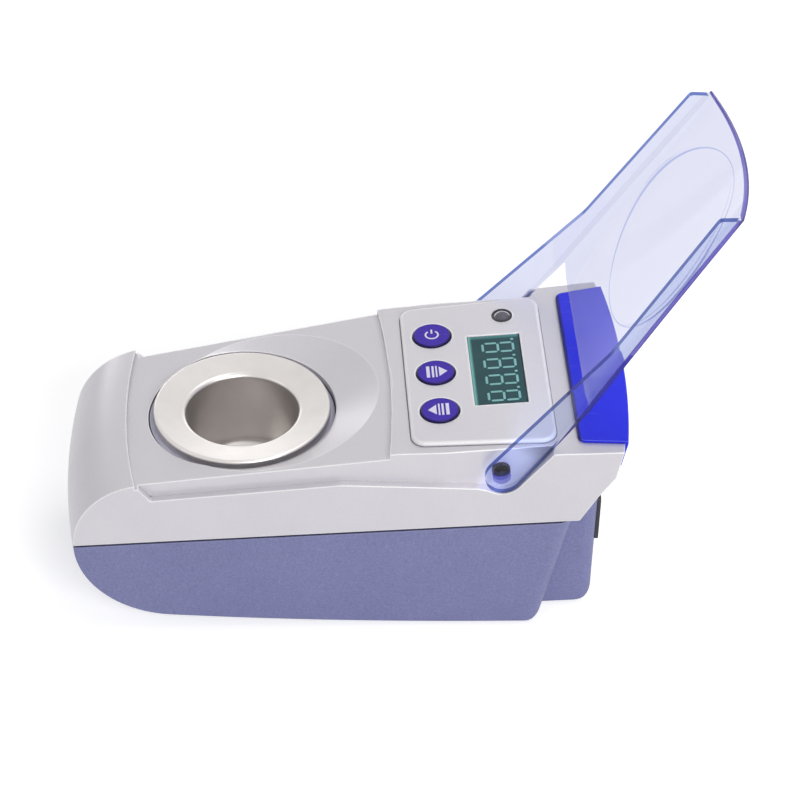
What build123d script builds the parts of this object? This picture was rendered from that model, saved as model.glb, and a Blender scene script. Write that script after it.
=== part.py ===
from build123d import *
import os
from math import atan, cos, degrees, radians, sin, sqrt, tan

# Frame: X along the heater (pot end at -X, rear end at +X), Y across it, Z up from the table.
# Pieces are drawn about the middle of the housing's length, and the last step moves them all so
# that the origin lies on the table under the middle of the overall length, with the lid open.

# ---------------------------------------------------------------- driving dimensions (mm, degrees)
wall = 2.2
side_half_mid = 33.83           # half width of the flank at x = 0
side_taper = 0.0627             # growth of the half width per mm towards the rear
top_height = 64.0               # top edge at the rear corners
rear_corner_x = 74.2
rear_bulge_radius = 265.0
rear_apex_x = 77.0
nose_apex_x = -77.0
nose_plan_radius = 211.0
nose_profile_radius = 21.6
seam_height_mid = 36.1          # parting plane at x = 0
seam_slope = 0.0615
seam_gap = 0.7

hump_front_x = 13.6
hump_front_bow_radius = 290.0
hump_slope = 0.033
ridge_x = -59.4
saddle_depth = 1.5              # drop from the ridge and hump to the saddle, filled by the closed lid

under_cut_low = (65.8, 40.6)    # rear face under the hump, at the centre line
under_cut_mid = (70.4, 48.5)
under_cut_high = (75.0, 55.2)
under_cut_lean = 0.59           # run of the face below the lowest point per mm of height

pivot_x = 41.6
pivot_drop = 8.05               # pivot below the top edge at the rear corners
lid_open_angle = 131.0
lid_wall = 1.7
lid_sheet = 1.25
lid_gap = 0.4                   # between lid skirts and the recess wall
lid_seat_gap = 0.25
lid_front_rise = 3.7            # centre line of the domed lid above the ridge
lid_rear_rise = 1.2             # and above the hump's front edge
lid_front_crown = 105.0         # radius of the dome across the lid, at each end
lid_rear_crown = 266.0
lid_disc_radius = 26.6          # flatter disc over the pot
lid_disc_spread = 1.25          # its crown radius over the dome's
lid_bend_x = -5.0               # bend in the skirts' free edge
lid_bend_lift = 0.55
lid_bend_radius = 14.0
skirt_corner = 1.5
arm_below_pivot = 4.35
arm_above_pivot = 5.75
arm_slope = 0.033
stop_gap = 0.35                 # between the arm end and the pocket it turns in
ledge_kink_x = -1.5
ledge_kink_drop = 7.1           # ledge below the shut lid's line at the kink
ledge_front_x = -53.0
ledge_front_drop = 5.23         # ledge below the ridge at its front end
front_lean = 0.769              # backward lean of the recess's front end per mm of height
pocket_half = 33.4              # half distance between the two arm pocket floors
pocket_turn = 85.0              # arc of the pocket round the arm end
stud_radius = 2.45
stud_length = 4.6
stud_slot = 0.6
stud_hole_gap = 0.08
stud_snap = 0.35                # flare of the snap tip
stud_snap_gap = 0.15
stud_snap_thick = 0.7
stud_snap_taper = 20.0

pot_x = -27.4
pot_top = 55.1
pot_flange_gap = 1.5            # between the flange and the well around it
pot_flange_thickness = 3.1
pot_dish = 1.1                  # fall of the ring face towards the opening
pot_lip = 1.5                   # rounding from the bore out to the ring face
pot_bore_radius = 15.5
pot_wall = 1.8
pot_depth = 23.7
pot_floor = 2.0
well_gap = 1.7                  # between the heat shield and the well
well_rim = 54.0                 # level at which the bowl opens out
bowl_flare = 1.94
bowl_wall = 2.0
well_bottom = 45.0
well_lip = 1.5

panel_x = 37.4
panel_length = 39.4
panel_half_front = 30.1
panel_half_rear = 32.4
panel_rise = 1.2
panel_seat = 0.4
panel_corner = 4.2
panel_edge = 0.7
panel_gap = 0.15
button_u = -11.1
button_pitch = 16.7
button_radius = 5.25
button_rise = 0.5
button_travel = 0.5
button_gap = 0.3
button_skirt_radius = 6.2
button_skirt = 1.0
button_edge = 0.3
roof_gap = 0.1
lcd_u = 5.9
lcd_long = 30.7
lcd_wide = 14.35
lcd_drop = 0.3
lcd_frame = 1.4
lcd_module_thick = 3.0
lcd_leg = 1.0
led_u = 9.1
led_v = 23.9
led_radius = 2.9
led_rim = 0.55
led_body_radius = 1.45
led_gap = 0.25
led_proud = 0.35
led_seat = 0.1
led_dome = 0.9
led_standoff = 2.5
led_leg_radius = 0.3
lcd_ledge = 0.6                 # roof edge that the window rests on

trim_front_x = 62.3
trim_rise = 0.9
trim_half_front = 32.9
trim_spread = 0.15              # growth of the trim's half width per mm towards the rear
trim_drop = 7.5
trim_front_corner = 2.5

base_draft = 4.3
tongue_thick = 1.0
tongue_rise = 2.0
tongue_gap = 0.15
tongue_front_x = -50.0
tongue_rear_x = 50.0
base_floor = 1.2
bow_radius = 27.0
bow_centre_z = 31.6
bow_centre_x = -50.0
bow_tail_x = 35.0               # where the level floor starts to rise towards the bow
tail_front_x = 30.0
leg_top_x = 61.4
leg_foot_x = 52.8
leg_corner = 4.5
leg_edge = 4.0
tail_foot_half = 26.2
tail_foot_x = 67.8
tail_draft = 2.3
tail_corner = 5.0
tail_edge = 2.5
tail_top = 48.6

foot_radius = 4.6
foot_height = 2.6
foot_recess = 1.4
foot_front = (-30.0, 17.5)
foot_rear = (46.0, 25.0)
foot_pad_radius = 6.0
foot_gap = 0.1
vent_x = -10.0
vent_pitch = 5.0
vent_count = 7
vent_long = 26.0
vent_wide = 2.0

screw_front = (-58.0, 15.5)
screw_rear = (33.0, 28.0)
screw_radius = 1.4
screw_head_radius = 2.7
screw_head = 1.8
screw_seat_drop = 7.0           # head seat below the parting plane
screw_length = 14.0
boss_radius = 3.4
sleeve_radius = 4.4
screw_gap = 0.3
board_screw_radius = 1.0
board_screw_head = 1.8
board_screw_length = 5.0

main_board_top = -8.5           # below the hump surface
board_thickness = 1.6
main_board_front = -21.4
main_board_rear = 20.6
main_board_half = 26.0
main_post_front = (-18.4, 22.8)
main_post_rear = (17.6, 20.5)
post_radius = 2.6
tact_size = 6.0
tact_body = 3.4
tact_top = -4.05
tact_stem_radius = 1.6

power_board_x = 10.0
power_board_long = 60.0
power_board_wide = 43.0
power_board_z = 8.0
power_post_x = 27.0
power_post_y = 18.0

collar_height = 5.0
collar_gap = 0.4
can_gap = 1.0                   # between the strap's ears and the heat shield
can_sheet = 0.5
can_bottom = 21.5
can_hole_radius = 5.5
heater_gap = 0.1
heater_thick = 1.6
heater_low = 30.0
heater_high = 45.5
heater_split = 7.0
strap_thick = 0.6
strap_wide = 5.0
strap_z = 38.0
sleeve_gap = 0.4
sleeve_can_gap = 0.3
sleeve_split = 13.0

fitting_z = 29.0
switch_y = -14.0
switch_flange = (21.0, 15.0)
switch_body = (19.0, 13.0)
switch_deep = 16.0
inlet_y = 13.0
inlet_flange = (22.0, 15.0)
inlet_body = (19.4, 12.4)
inlet_deep = 16.0
inlet_lobe_radius = 4.3
inlet_pitch = 8.6
inlet_socket = 11.0
inlet_pin_radius = 1.15
fitting_flange = 1.0
fitting_gap = 0.15
rocker_half = 7.5
rocker_wide = 9.0
rocker_tilt = 8.0
rocker_pin_radius = 0.8
rocker_depth = 2.2              # hinge line below the rear face
rocker_pocket = 6.0
rocker_belly = 2.4
rocker_gap = 0.3
rocker_pin_long = 1.2
pin_gap = 0.05
fitting_corner = 1.2
tab_pitch = 8.0
tab_thick = 0.8
tab_wide = 4.8
tab_long = 6.0
lead_radius = 0.7
lead_pitch = 3.4
lead_exit = 3.0
pot_corner = 3.0
pot_rim = 0.8
strap_ear = 3.8
strap_screw_inset = 1.6         # from the ears' ends
strap_screw_radius = 1.0
strap_nut_radius = 1.8
strap_head = 0.8
sensor_radius = 4.0
sensor_high = 2.4
fuse_long = 10.0
fuse_radius = 1.6
fuse_offset = -9.0
foot_bevel = 0.6

under_board_parts = [           # under the main board: along, across, length, width, height
    (-12.0, 14.0, 7.0, 12.0, 6.0),
    (4.0, 2.0, 10.0, 10.0, 1.6),
    (-4.0, -10.0, 5.0, 6.0, 1.6),
]
buzzer_u = 10.0
buzzer_v = -15.0
buzzer_radius = 6.0
buzzer_high = 6.5
buzzer_hole = 1.0

transformer_block = (13.5, -6.0, 25.0, 24.0, 20.0)      # x, y, length, width, height
transformer_core = 13.75        # length of the iron core through the winding
winding_wide = 17.3
winding_inset = 3.0             # winding inside the core's height at both ends
power_blocks = {
    "relay": (33.0, -6.0, 12.0, 15.0, 14.0),
    "terminal_block": (30.5, 10.5, 7.0, 13.0, 9.0),
}
capacitor_cans = [(12.0, 13.0, 5.0, 16.0), (23.0, 14.0, 3.2, 11.0)]
line_fuse_tube = (-6.0, 4.0, 2.5, 20.0)     # x, y, radius, length
fuse_clip_inset = 1.6           # clips in from the tube's ends

nose_axis_x = nose_apex_x + nose_plan_radius
rear_axis_x = rear_apex_x - rear_bulge_radius
ridge_radius = nose_axis_x - ridge_x
far = 120.0

pivot_z = top_height - pivot_drop
pot_outer = pot_bore_radius + pot_wall
heater_inner = pot_outer + heater_gap
heater_outer = heater_inner + heater_thick
strap_outer = heater_outer + strap_thick
can_radius = heater_outer + strap_ear + can_gap + can_sheet
sleeve_inner = strap_outer + sleeve_gap
sleeve_outer = can_radius - can_sheet - sleeve_can_gap
well_radius = can_radius + well_gap
pot_flange_radius = well_radius - pot_flange_gap
pot_lip_radius = pot_bore_radius + pot_lip

keel_run = bow_tail_x - bow_centre_x
keel_drop = base_floor - bow_centre_z
keel_radius = (bow_radius**2 - keel_run**2 - keel_drop**2) / (2 * (keel_drop + bow_radius))
keel_turn = degrees(atan(keel_run / (keel_radius + keel_drop)))


def side_half(x):
    return side_half_mid + side_taper * x


def hump_z(x):
    return top_height - hump_slope * (rear_corner_x - x)


def nose_z(x):
    return bow_centre_z + sqrt(nose_profile_radius**2 - (x - nose_apex_x - nose_profile_radius) ** 2)


ridge_z = nose_z(ridge_x)
cover_slope = (hump_z(hump_front_x) - ridge_z) / (hump_front_x - ridge_x)
ledge_front_z = ridge_z - ledge_front_drop
ledge_kink_z = ridge_z + cover_slope * (ledge_kink_x - ridge_x) - ledge_kink_drop


def bow_x(y):
    return hump_front_x - hump_front_bow_radius + sqrt(hump_front_bow_radius**2 - y**2)


def cover_z(x):
    return ridge_z + cover_slope * (x - ridge_x)


def saddle_z(x):
    return cover_z(x) - saddle_depth


def seam_z(x):
    return seam_height_mid + seam_slope * x


def plan_wedge(inset, front=-far, rear=far):
    return [
        (front, -side_half(front) + inset),
        (rear, -side_half(rear) + inset),
        (rear, side_half(rear) - inset),
        (front, side_half(front) - inset),
    ]


def shell_form(inset, top_drop, low):
    """Outer form of the upper housing, moved in by an inset, its lower edge low above the parting plane."""
    with BuildPart() as form:
        with BuildSketch(Plane.XY):
            Polygon(*plan_wedge(inset), align=None)
        extrude(amount=far)
        with BuildSketch(Plane.XZ):
            with BuildLine():
                Polyline(
                    (-far, seam_z(-far) + low),
                    (far, seam_z(far) + low),
                    (far, hump_z(far) - top_drop),
                    (hump_front_x, hump_z(hump_front_x) - top_drop),
                    (ridge_x, ridge_z - top_drop),
                    (-far, ridge_z - top_drop),
                    close=True,
                )
            make_face()
        extrude(amount=far, both=True, mode=Mode.INTERSECT)
        with BuildSketch(Plane.XZ):
            with BuildLine():
                nose = CenterArc(
                    (nose_apex_x + nose_profile_radius, bow_centre_z), nose_profile_radius - inset, 90, 90
                )
                Polyline(nose @ 1, (nose_apex_x + inset, 0), (nose_axis_x, 0), (nose_axis_x, far))
                Polyline((nose_axis_x, far), (nose_apex_x + nose_profile_radius, far), nose @ 0)
            make_face()
        revolve(axis=Axis((nose_axis_x, 0, 0), (0, 0, 1)), mode=Mode.INTERSECT)
        with BuildSketch(Plane.XZ):
            with BuildLine():
                Polyline(
                    (rear_axis_x, 0),
                    (under_cut_low[0] - inset - under_cut_low[1] * under_cut_lean, 0),
                    (under_cut_low[0] - inset, under_cut_low[1]),
                    (under_cut_mid[0] - inset, under_cut_mid[1]),
                    (under_cut_high[0] - inset, under_cut_high[1]),
                    (rear_apex_x - inset, top_height),
                    (rear_apex_x - inset, far),
                    (rear_axis_x, far),
                    close=True,
                )
            make_face()
        revolve(axis=Axis((rear_axis_x, 0, 0), (0, 0, 1)), mode=Mode.INTERSECT)
    return form.part


def recess_form(grow):
    """Side recess for the lid skirts and arms, with its floor and wall moved by grow."""
    stop_angle = 180.0 + degrees(atan(arm_slope)) - lid_open_angle
    reach = arm_above_pivot + stop_gap
    wall_inset = lid_wall + lid_gap
    meet_x = (pocket_half - side_half_mid + wall_inset) / side_taper
    ledge_end_z = pivot_z - arm_below_pivot - lid_seat_gap
    lead_in = top_height - ledge_front_z
    with BuildPart() as recess:
        with BuildSketch(Plane.XZ):
            with BuildLine():
                pocket = CenterArc((pivot_x, pivot_z), reach, stop_angle - 90, -pocket_turn)
                lift = (ledge_kink_z - ledge_end_z) / (pivot_x - ledge_kink_x)
                low_x = (pocket @ 1).X - reach / 2
                stop_run = 1.25 * (rear_apex_x - pivot_x)
                stop_end = pocket @ 0 + Vector(stop_run, stop_run * tan(radians(stop_angle)))
                Polyline(
                    pocket @ 1,
                    (low_x, ledge_end_z + lift * (pivot_x - low_x)),
                    (ledge_kink_x, ledge_kink_z),
                    (ledge_front_x, ledge_front_z),
                    (ledge_front_x - front_lean * lead_in, ledge_front_z + lead_in),
                    (ledge_front_x - front_lean * lead_in, far),
                    (stop_end.X, far),
                    stop_end,
                    pocket @ 0,
                )
            make_face()
            if grow:
                offset(amount=grow, kind=Kind.INTERSECTION)
        extrude(amount=far, both=True)
        with BuildSketch(Plane.XY):
            for s in (1, -1):
                outline = [
                    (-far, s * (side_half(-far) - wall_inset - grow)),
                    (meet_x, s * (pocket_half - grow)),
                    (far, s * (pocket_half - grow)),
                    (far, s * far),
                    (-far, s * far),
                ]
                Polygon(*(outline if s > 0 else outline[::-1]), align=None)
        extrude(amount=far, mode=Mode.INTERSECT)
    return recess.part


def foot_cut(corner, lean_angle, radius):
    """Closed outline in XZ above a floor line and the rounded corner where it turns up the rear face."""
    run = radius / tan(radians((90.0 + lean_angle) / 2))
    lean_x = sin(radians(lean_angle))
    lean_z = cos(radians(lean_angle))
    with BuildSketch(Plane.XZ) as outline:
        with BuildLine():
            floor = Line((-far, corner[1]), (corner[0] - run, corner[1]))
            turn = TangentArc(floor @ 1, (corner[0] + run * lean_x, corner[1] + run * lean_z), tangent=(1, 0))
            Polyline(turn @ 1, (far, corner[1] + run * lean_z), (far, far), (-far, far), floor @ 0)
        make_face()
    return outline.sketch


def below_seam(rise):
    """Prism under the parting plane."""
    with BuildSketch(Plane.XZ) as outline:
        Polygon((-far, -far), (far, -far), (far, seam_z(far) + rise), (-far, seam_z(-far) + rise), align=None)
    return extrude(outline.sketch, amount=far, both=True, mode=Mode.PRIVATE)


def base_form(inset):
    """Wide front part of the lower housing, moved in by an inset."""
    draft = tan(radians(base_draft))
    lean = (leg_top_x - leg_foot_x) / (seam_z(leg_top_x) - base_floor)
    lean_angle = degrees(atan(lean))
    with BuildPart() as form:
        for z in (0.0, far):
            rear = leg_foot_x + lean * (z - base_floor) - inset
            with BuildSketch(Plane.XY.offset(z)):
                half_front = side_half(-far) - draft * (seam_z(-far) - z) - inset
                half_rear = side_half(rear) - draft * (seam_z(rear) - z) - inset
                ends = ((-far, -half_front), (rear, -half_rear), (rear, half_rear), (-far, half_front))
                Polygon(*ends, align=None)
                fillet(vertices().group_by(Axis.X)[-1], leg_edge - inset)
        loft()
        with BuildSketch(Plane.XZ):
            with BuildLine():
                foot = Line((nose_axis_x, base_floor + inset), (bow_tail_x, base_floor + inset))
                keel = JernArc(foot @ 1, (-1, 0), keel_radius - inset, -keel_turn)
                bow = JernArc(keel @ 1, keel % 1, bow_radius - inset, keel_turn - 90)
                Polyline(bow @ 1, (nose_apex_x + inset, far), (nose_axis_x, far), foot @ 0)
            make_face()
        revolve(axis=Axis((nose_axis_x, 0, 0), (0, 0, 1)), mode=Mode.INTERSECT)
        corner = (leg_foot_x - inset + lean * inset, base_floor + inset)
        extrude(foot_cut(corner, lean_angle, leg_corner - inset), amount=far, both=True, mode=Mode.INTERSECT)
    return form.part


def tail_form(inset):
    """Narrow rear block of the lower housing, moved in by an inset."""
    lean = tan(radians(tail_draft))
    with BuildPart() as form:
        with BuildSketch(Plane.XY):
            half = tail_foot_half - inset
            rear = tail_foot_x - inset
            Polygon((0, -half), (rear, -half), (rear, half), (0, half), align=None)
            fillet(vertices().group_by(Axis.X)[-1], max(tail_edge - inset, 0.3))
        extrude(amount=tail_top - inset, taper=-tail_draft)
        corner = (tail_foot_x - inset + lean * inset, base_floor + inset)
        extrude(foot_cut(corner, tail_draft, tail_corner - inset), amount=far, both=True, mode=Mode.INTERSECT)
        with BuildSketch(Plane.XZ):
            step = leg_top_x - wall + inset
            low = -seam_gap / 2 - inset
            Polygon(
                (tail_front_x + inset, -far),
                (far, -far),
                (far, far),
                (step, far),
                (step, seam_z(step) + low),
                (tail_front_x + inset, seam_z(tail_front_x) + low),
                align=None,
            )
        extrude(amount=far, both=True, mode=Mode.INTERSECT)
    return form.part


def at_tail(y, out):
    """Plane on the rear face at fitting height, its x axis across the heater and its z axis outwards."""
    lean = tan(radians(tail_draft))
    spot = Vector(tail_foot_x + lean * fitting_z, y, fitting_z)
    outward = Vector(1, 0, -lean).normalized()
    return Plane(origin=spot + outward * out, x_dir=(0, 1, 0), z_dir=outward)


def switch_hinge_plane(up):
    """Plane across the rocker hinge: x across the heater, y outwards, z along the hinge line upwards."""
    face = at_tail(switch_y, -rocker_depth)
    along = face.x_dir.cross(face.z_dir) * -1
    return Plane(origin=face.origin + along * up, x_dir=face.x_dir * -1, z_dir=along)


def at_hump(u, v, w):
    """Plane on the hump: u rearwards, v across, w above the surface, seen from the panel centre."""
    tilt = atan(hump_slope)
    base = Vector(panel_x, 0, hump_z(panel_x))
    along = Vector(cos(tilt), 0, sin(tilt))
    up = Vector(-sin(tilt), 0, cos(tilt))
    spot = base + along * u + Vector(0, v, 0) + up * w
    return Plane(origin=spot, x_dir=along, z_dir=up)


def bowl_line(r):
    return well_rim + (r - well_radius) / bowl_flare


def crown_form(drop, spread=1.0):
    """Body under the shut lid's domed top, moved down by drop, with its crown flatter by spread."""
    ends = (
        (ridge_x - lid_wall, lid_front_rise, lid_front_crown),
        (hump_front_x + lid_wall, lid_rear_rise, lid_rear_crown),
    )
    with BuildPart() as form:
        for x, rise, crown in ends:
            top = cover_z(x) + rise - drop
            sagitta = crown * spread - sqrt((crown * spread) ** 2 - crown_half**2)
            with BuildSketch(Plane.YZ.offset(x)):
                with BuildLine():
                    arc = ThreePointArc((-crown_half, top - sagitta), (0, top), (crown_half, top - sagitta))
                    Polyline(arc @ 1, (crown_half, 0), (-crown_half, 0), arc @ 0)
                make_face()
        loft(ruled=True)
    return form.part


outer_form = shell_form(0.0, 0.0, seam_gap / 2)
recess = recess_form(0.0)
bowl_drop = bowl_wall * sqrt(1 + 1 / bowl_flare**2)
well_outer = well_radius + bowl_wall
case_screws_at = [(x, s * y) for x, y in (screw_front, screw_rear) for s in (1, -1)]
main_posts_at = [(u, s * v) for u, v in (main_post_front, main_post_rear) for s in (1, -1)]
power_posts_at = [(power_board_x + i * power_post_x, j * power_post_y) for i in (1, -1) for j in (1, -1)]
feet_at = [(x, s * y) for x, y in (foot_front, foot_rear) for s in (1, -1)]
buttons_at = {
    "mode": button_pitch,
    "up": 0.0,
    "down": -button_pitch,
}
button_hole = button_radius + button_gap
pocket_inner = pocket_half - wall
crown_half = side_half(rear_apex_x)
trim_rear_x = rear_apex_x + 2 * wall
trim_half_end = trim_half_front + trim_spread * (trim_rear_x - trim_front_x)

# ---------------------------------------------------------------- upper housing
with BuildPart() as saddle_cut:
    with BuildSketch(Plane.XY):
        with Locations((nose_axis_x, 0)):
            Circle(ridge_radius)
        with Locations((hump_front_x - hump_front_bow_radius, 0)):
            Circle(hump_front_bow_radius, mode=Mode.INTERSECT)
    extrude(amount=far)
    with BuildSketch(Plane.XZ):
        Polygon((-far, saddle_z(-far)), (far, saddle_z(far)), (far, far), (-far, far), align=None)
    extrude(amount=far, both=True, mode=Mode.INTERSECT)

with BuildPart() as cavity:
    add(shell_form(wall, wall, -2 * wall))
    with BuildSketch(Plane.XZ):
        step_x = hump_front_x + wall
        Polygon(
            (-far, saddle_z(-far) - wall),
            (step_x, saddle_z(step_x) - wall),
            (step_x, far),
            (-far, far),
            align=None,
        )
    extrude(amount=far, both=True, mode=Mode.SUBTRACT)
    add(recess_form(wall), mode=Mode.SUBTRACT)
    with BuildSketch(Plane.XZ):
        Polygon(
            (pot_x, well_bottom),
            (pot_x + well_outer, well_bottom),
            (pot_x + well_outer, bowl_line(well_outer) - bowl_drop),
            (pot_x + far, bowl_line(far) - bowl_drop),
            (pot_x, far),
            align=None,
        )
    revolve(axis=Axis((pot_x, 0, 0), (0, 0, 1)), mode=Mode.SUBTRACT)
    for x, y in case_screws_at:
        with BuildSketch(Plane.XY.offset(seam_z(x) - wall)):
            with Locations((x, y)):
                Circle(boss_radius)
        extrude(amount=far, mode=Mode.SUBTRACT)
    for u, v in main_posts_at:
        with BuildSketch(at_hump(u, v, main_board_top)):
            Circle(post_radius)
        extrude(amount=-main_board_top, mode=Mode.SUBTRACT)

with BuildPart() as upper_housing:
    add(outer_form)
    add(recess, mode=Mode.SUBTRACT)
    add(saddle_cut.part, mode=Mode.SUBTRACT)
    add(cavity.part, mode=Mode.SUBTRACT)
    with BuildSketch(Plane.XZ):
        Polygon(
            (pot_x, seam_height_mid),
            (pot_x + well_radius - well_lip, seam_height_mid),
            (pot_x + well_radius - well_lip, well_bottom + well_lip),
            (pot_x + well_radius, well_bottom + well_lip),
            (pot_x + well_radius, well_rim),
            (pot_x + far, bowl_line(far)),
            (pot_x, far),
            align=None,
        )
    revolve(axis=Axis((pot_x, 0, 0), (0, 0, 1)), mode=Mode.SUBTRACT)
    tail_gap = seam_gap / 2
    with BuildSketch(Plane.YZ.offset(leg_top_x - wall)):
        tail_slot = tail_foot_half + tail_top * tan(radians(tail_draft)) + tail_gap
        with Locations((0, (tail_top + tail_gap) / 2)):
            Rectangle(2 * tail_slot, tail_top + tail_gap)
    extrude(amount=far, mode=Mode.SUBTRACT)
    for s in (1, -1):
        with BuildSketch(Plane(origin=(pivot_x, s * far, pivot_z), z_dir=(0, -s, 0))):
            Circle(stud_radius + stud_hole_gap)
        extrude(amount=far - pocket_inner + wall, mode=Mode.SUBTRACT)
    for x, y in case_screws_at:
        with BuildSketch(Plane.XY.offset(seam_z(x) - wall)):
            with Locations((x, y)):
                Circle(screw_radius)
        extrude(amount=screw_length - screw_seat_drop + wall + screw_gap, mode=Mode.SUBTRACT)
    for u, v in main_posts_at:
        with BuildSketch(at_hump(u, v, main_board_top)):
            Circle(board_screw_radius)
        extrude(amount=board_screw_length, mode=Mode.SUBTRACT)
    with BuildSketch(at_hump(0, 0, -panel_seat)):
        Polygon(
            (-panel_length / 2, -panel_half_front),
            (panel_length / 2, -panel_half_rear),
            (panel_length / 2, panel_half_rear),
            (-panel_length / 2, panel_half_front),
            align=None,
        )
        fillet(vertices(), panel_corner)
    extrude(amount=3 * wall, mode=Mode.SUBTRACT)
    with BuildSketch(at_hump(0, 0, panel_rise)):
        for v in buttons_at.values():
            with Locations((button_u, v)):
                Circle(button_hole)
        with Locations((lcd_u, 0)):
            Rectangle(lcd_wide - 2 * lcd_ledge, lcd_long - 2 * lcd_ledge)
        with Locations((led_u, led_v)):
            Circle(led_body_radius + led_gap)
    extrude(amount=-panel_rise - 2 * wall, mode=Mode.SUBTRACT)

# ---------------------------------------------------------------- lower housing
seam_plane = Plane(origin=(0, 0, seam_height_mid), x_dir=(1, 0, seam_slope), z_dir=(-seam_slope, 0, 1))
seam_scale = sqrt(1 + seam_slope**2)
sleeve_top = seam_gap / 2 / seam_scale
with BuildPart() as base_cavity:
    add(base_form(wall))
    add(tail_form(wall))
    for x, y in case_screws_at:
        with BuildSketch(Plane.XY):
            with Locations((x, y)):
                Circle(sleeve_radius)
        extrude(amount=far, mode=Mode.SUBTRACT)
    for x, y in power_posts_at:
        with BuildSketch(Plane.XY):
            with Locations((x, y)):
                Circle(post_radius)
        extrude(amount=power_board_z, mode=Mode.SUBTRACT)
    for x, y in feet_at:
        with BuildSketch(Plane.XY):
            with Locations((x, y)):
                Circle(foot_pad_radius)
        extrude(amount=base_floor + foot_recess + wall / 2, mode=Mode.SUBTRACT)

with BuildPart() as lower_housing:
    add(base_form(0.0))
    with BuildSketch(Plane.XY.offset(base_floor)):
        for x, y in feet_at:
            with Locations((x, y)):
                Circle(foot_pad_radius)
    extrude(amount=2 * wall)
    add(below_seam(-seam_gap / 2), mode=Mode.INTERSECT)
    add(tail_form(0.0))
    add(base_cavity.part, mode=Mode.SUBTRACT)
    with BuildSketch(seam_plane.offset(sleeve_top)):
        for x, y in case_screws_at:
            with Locations((x * seam_scale, y)):
                Circle(sleeve_radius)
    extrude(amount=-wall)
    tongue_steps = (
        (-1.5 * wall, -seam_gap / 2, wall / 2),
        (-seam_gap / 2, tongue_rise, wall + tongue_gap),
    )
    for low, high, outer in tongue_steps:
        with BuildSketch(seam_plane.offset(high / seam_scale)):
            for s in (1, -1):
                inner_line = wall + tongue_gap + tongue_thick
                run = [(x, s * (side_half(x) - outer)) for x in (tongue_front_x, tongue_rear_x)]
                back = [(x, s * (side_half(x) - inner_line)) for x in (tongue_rear_x, tongue_front_x)]
                Polygon(*(run + back), align=None)
        extrude(amount=(low - high) / seam_scale)
    for x, y in case_screws_at:
        seat = seam_z(x) - screw_seat_drop
        with BuildSketch(Plane.XY):
            with Locations((x, y)):
                Circle(screw_head_radius + screw_gap)
        extrude(amount=seat, mode=Mode.SUBTRACT)
        with BuildSketch(Plane.XY):
            with Locations((x, y)):
                Circle(screw_radius + screw_gap)
        extrude(amount=far, mode=Mode.SUBTRACT)
    for x, y in feet_at:
        with BuildSketch(Plane.XY):
            with Locations((x, y)):
                Circle(foot_radius + foot_gap)
        extrude(amount=base_floor + foot_recess, mode=Mode.SUBTRACT)
    for x, y in power_posts_at:
        with BuildSketch(Plane.XY.offset(power_board_z)):
            with Locations((x, y)):
                Circle(board_screw_radius)
        extrude(amount=board_thickness - board_screw_length, mode=Mode.SUBTRACT)
    with BuildSketch(Plane.XY):
        with Locations((vent_x, 0)):
            with GridLocations(vent_pitch, 1, vent_count, 1):
                SlotOverall(vent_long, vent_wide, rotation=90)
    extrude(amount=4 * wall, mode=Mode.SUBTRACT)
    for y, (long, high) in ((switch_y, switch_body), (inlet_y, inlet_body)):
        with BuildSketch(at_tail(y, 0.0)):
            Rectangle(long + 2 * fitting_gap, high + 2 * fitting_gap)
        extrude(amount=-2 * wall, mode=Mode.SUBTRACT)

# ---------------------------------------------------------------- lid, moulded shut and shown open
arm_radius = (arm_below_pivot + arm_above_pivot) / 2
arm_end_z = pivot_z + (arm_above_pivot - arm_below_pivot) / 2
arm_top_z = arm_end_z + arm_radius
sheet_rear_x = bow_x(side_half(hump_front_x)) - lid_gap
skirt_front_x = ledge_front_x + lid_gap * sqrt(1 + front_lean**2)
skirt_low_z = ledge_front_z + lid_seat_gap
ledge_lift = (ledge_kink_z - ledge_front_z) / (ledge_kink_x - ledge_front_x)
lid_bend_z = ledge_kink_z + ledge_lift * (lid_bend_x - ledge_kink_x) + lid_bend_lift
stud_root = side_half(pivot_x) - lid_wall / 2
with BuildPart() as lid_sheet_form:
    with BuildSketch(Plane.XY):
        with Locations((nose_axis_x, 0)):
            Circle(ridge_radius - lid_gap)
        with Locations((hump_front_x - hump_front_bow_radius, 0)):
            Circle(hump_front_bow_radius - lid_gap, mode=Mode.INTERSECT)
        Polygon(*plan_wedge(0.0), align=None, mode=Mode.INTERSECT)
        with Locations((pot_x, 0)):
            Circle(lid_disc_radius, mode=Mode.SUBTRACT)
    extrude(amount=far)
    add(crown_form(0.0), mode=Mode.INTERSECT)
    add(crown_form(lid_sheet), mode=Mode.SUBTRACT)

with BuildPart() as lid_disc_form:
    with BuildSketch(Plane.XY):
        with Locations((pot_x, 0)):
            Circle(lid_disc_radius)
    extrude(amount=far)
    add(crown_form(0.0, lid_disc_spread), mode=Mode.INTERSECT)
    add(crown_form(lid_sheet, lid_disc_spread), mode=Mode.SUBTRACT)

with BuildPart() as above_lid:
    with BuildSketch(Plane.XZ):
        Polygon((-far, 0), (sheet_rear_x, 0), (sheet_rear_x, far), (-far, far), align=None)
    extrude(amount=far, both=True)
    add(crown_form(0.0), mode=Mode.SUBTRACT)
    with BuildSketch(Plane.XZ):
        Polygon((-far, 0), (far, 0), (far, skirt_low_z), (-far, skirt_low_z), align=None)
    extrude(amount=far, both=True, mode=Mode.SUBTRACT)

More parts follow.
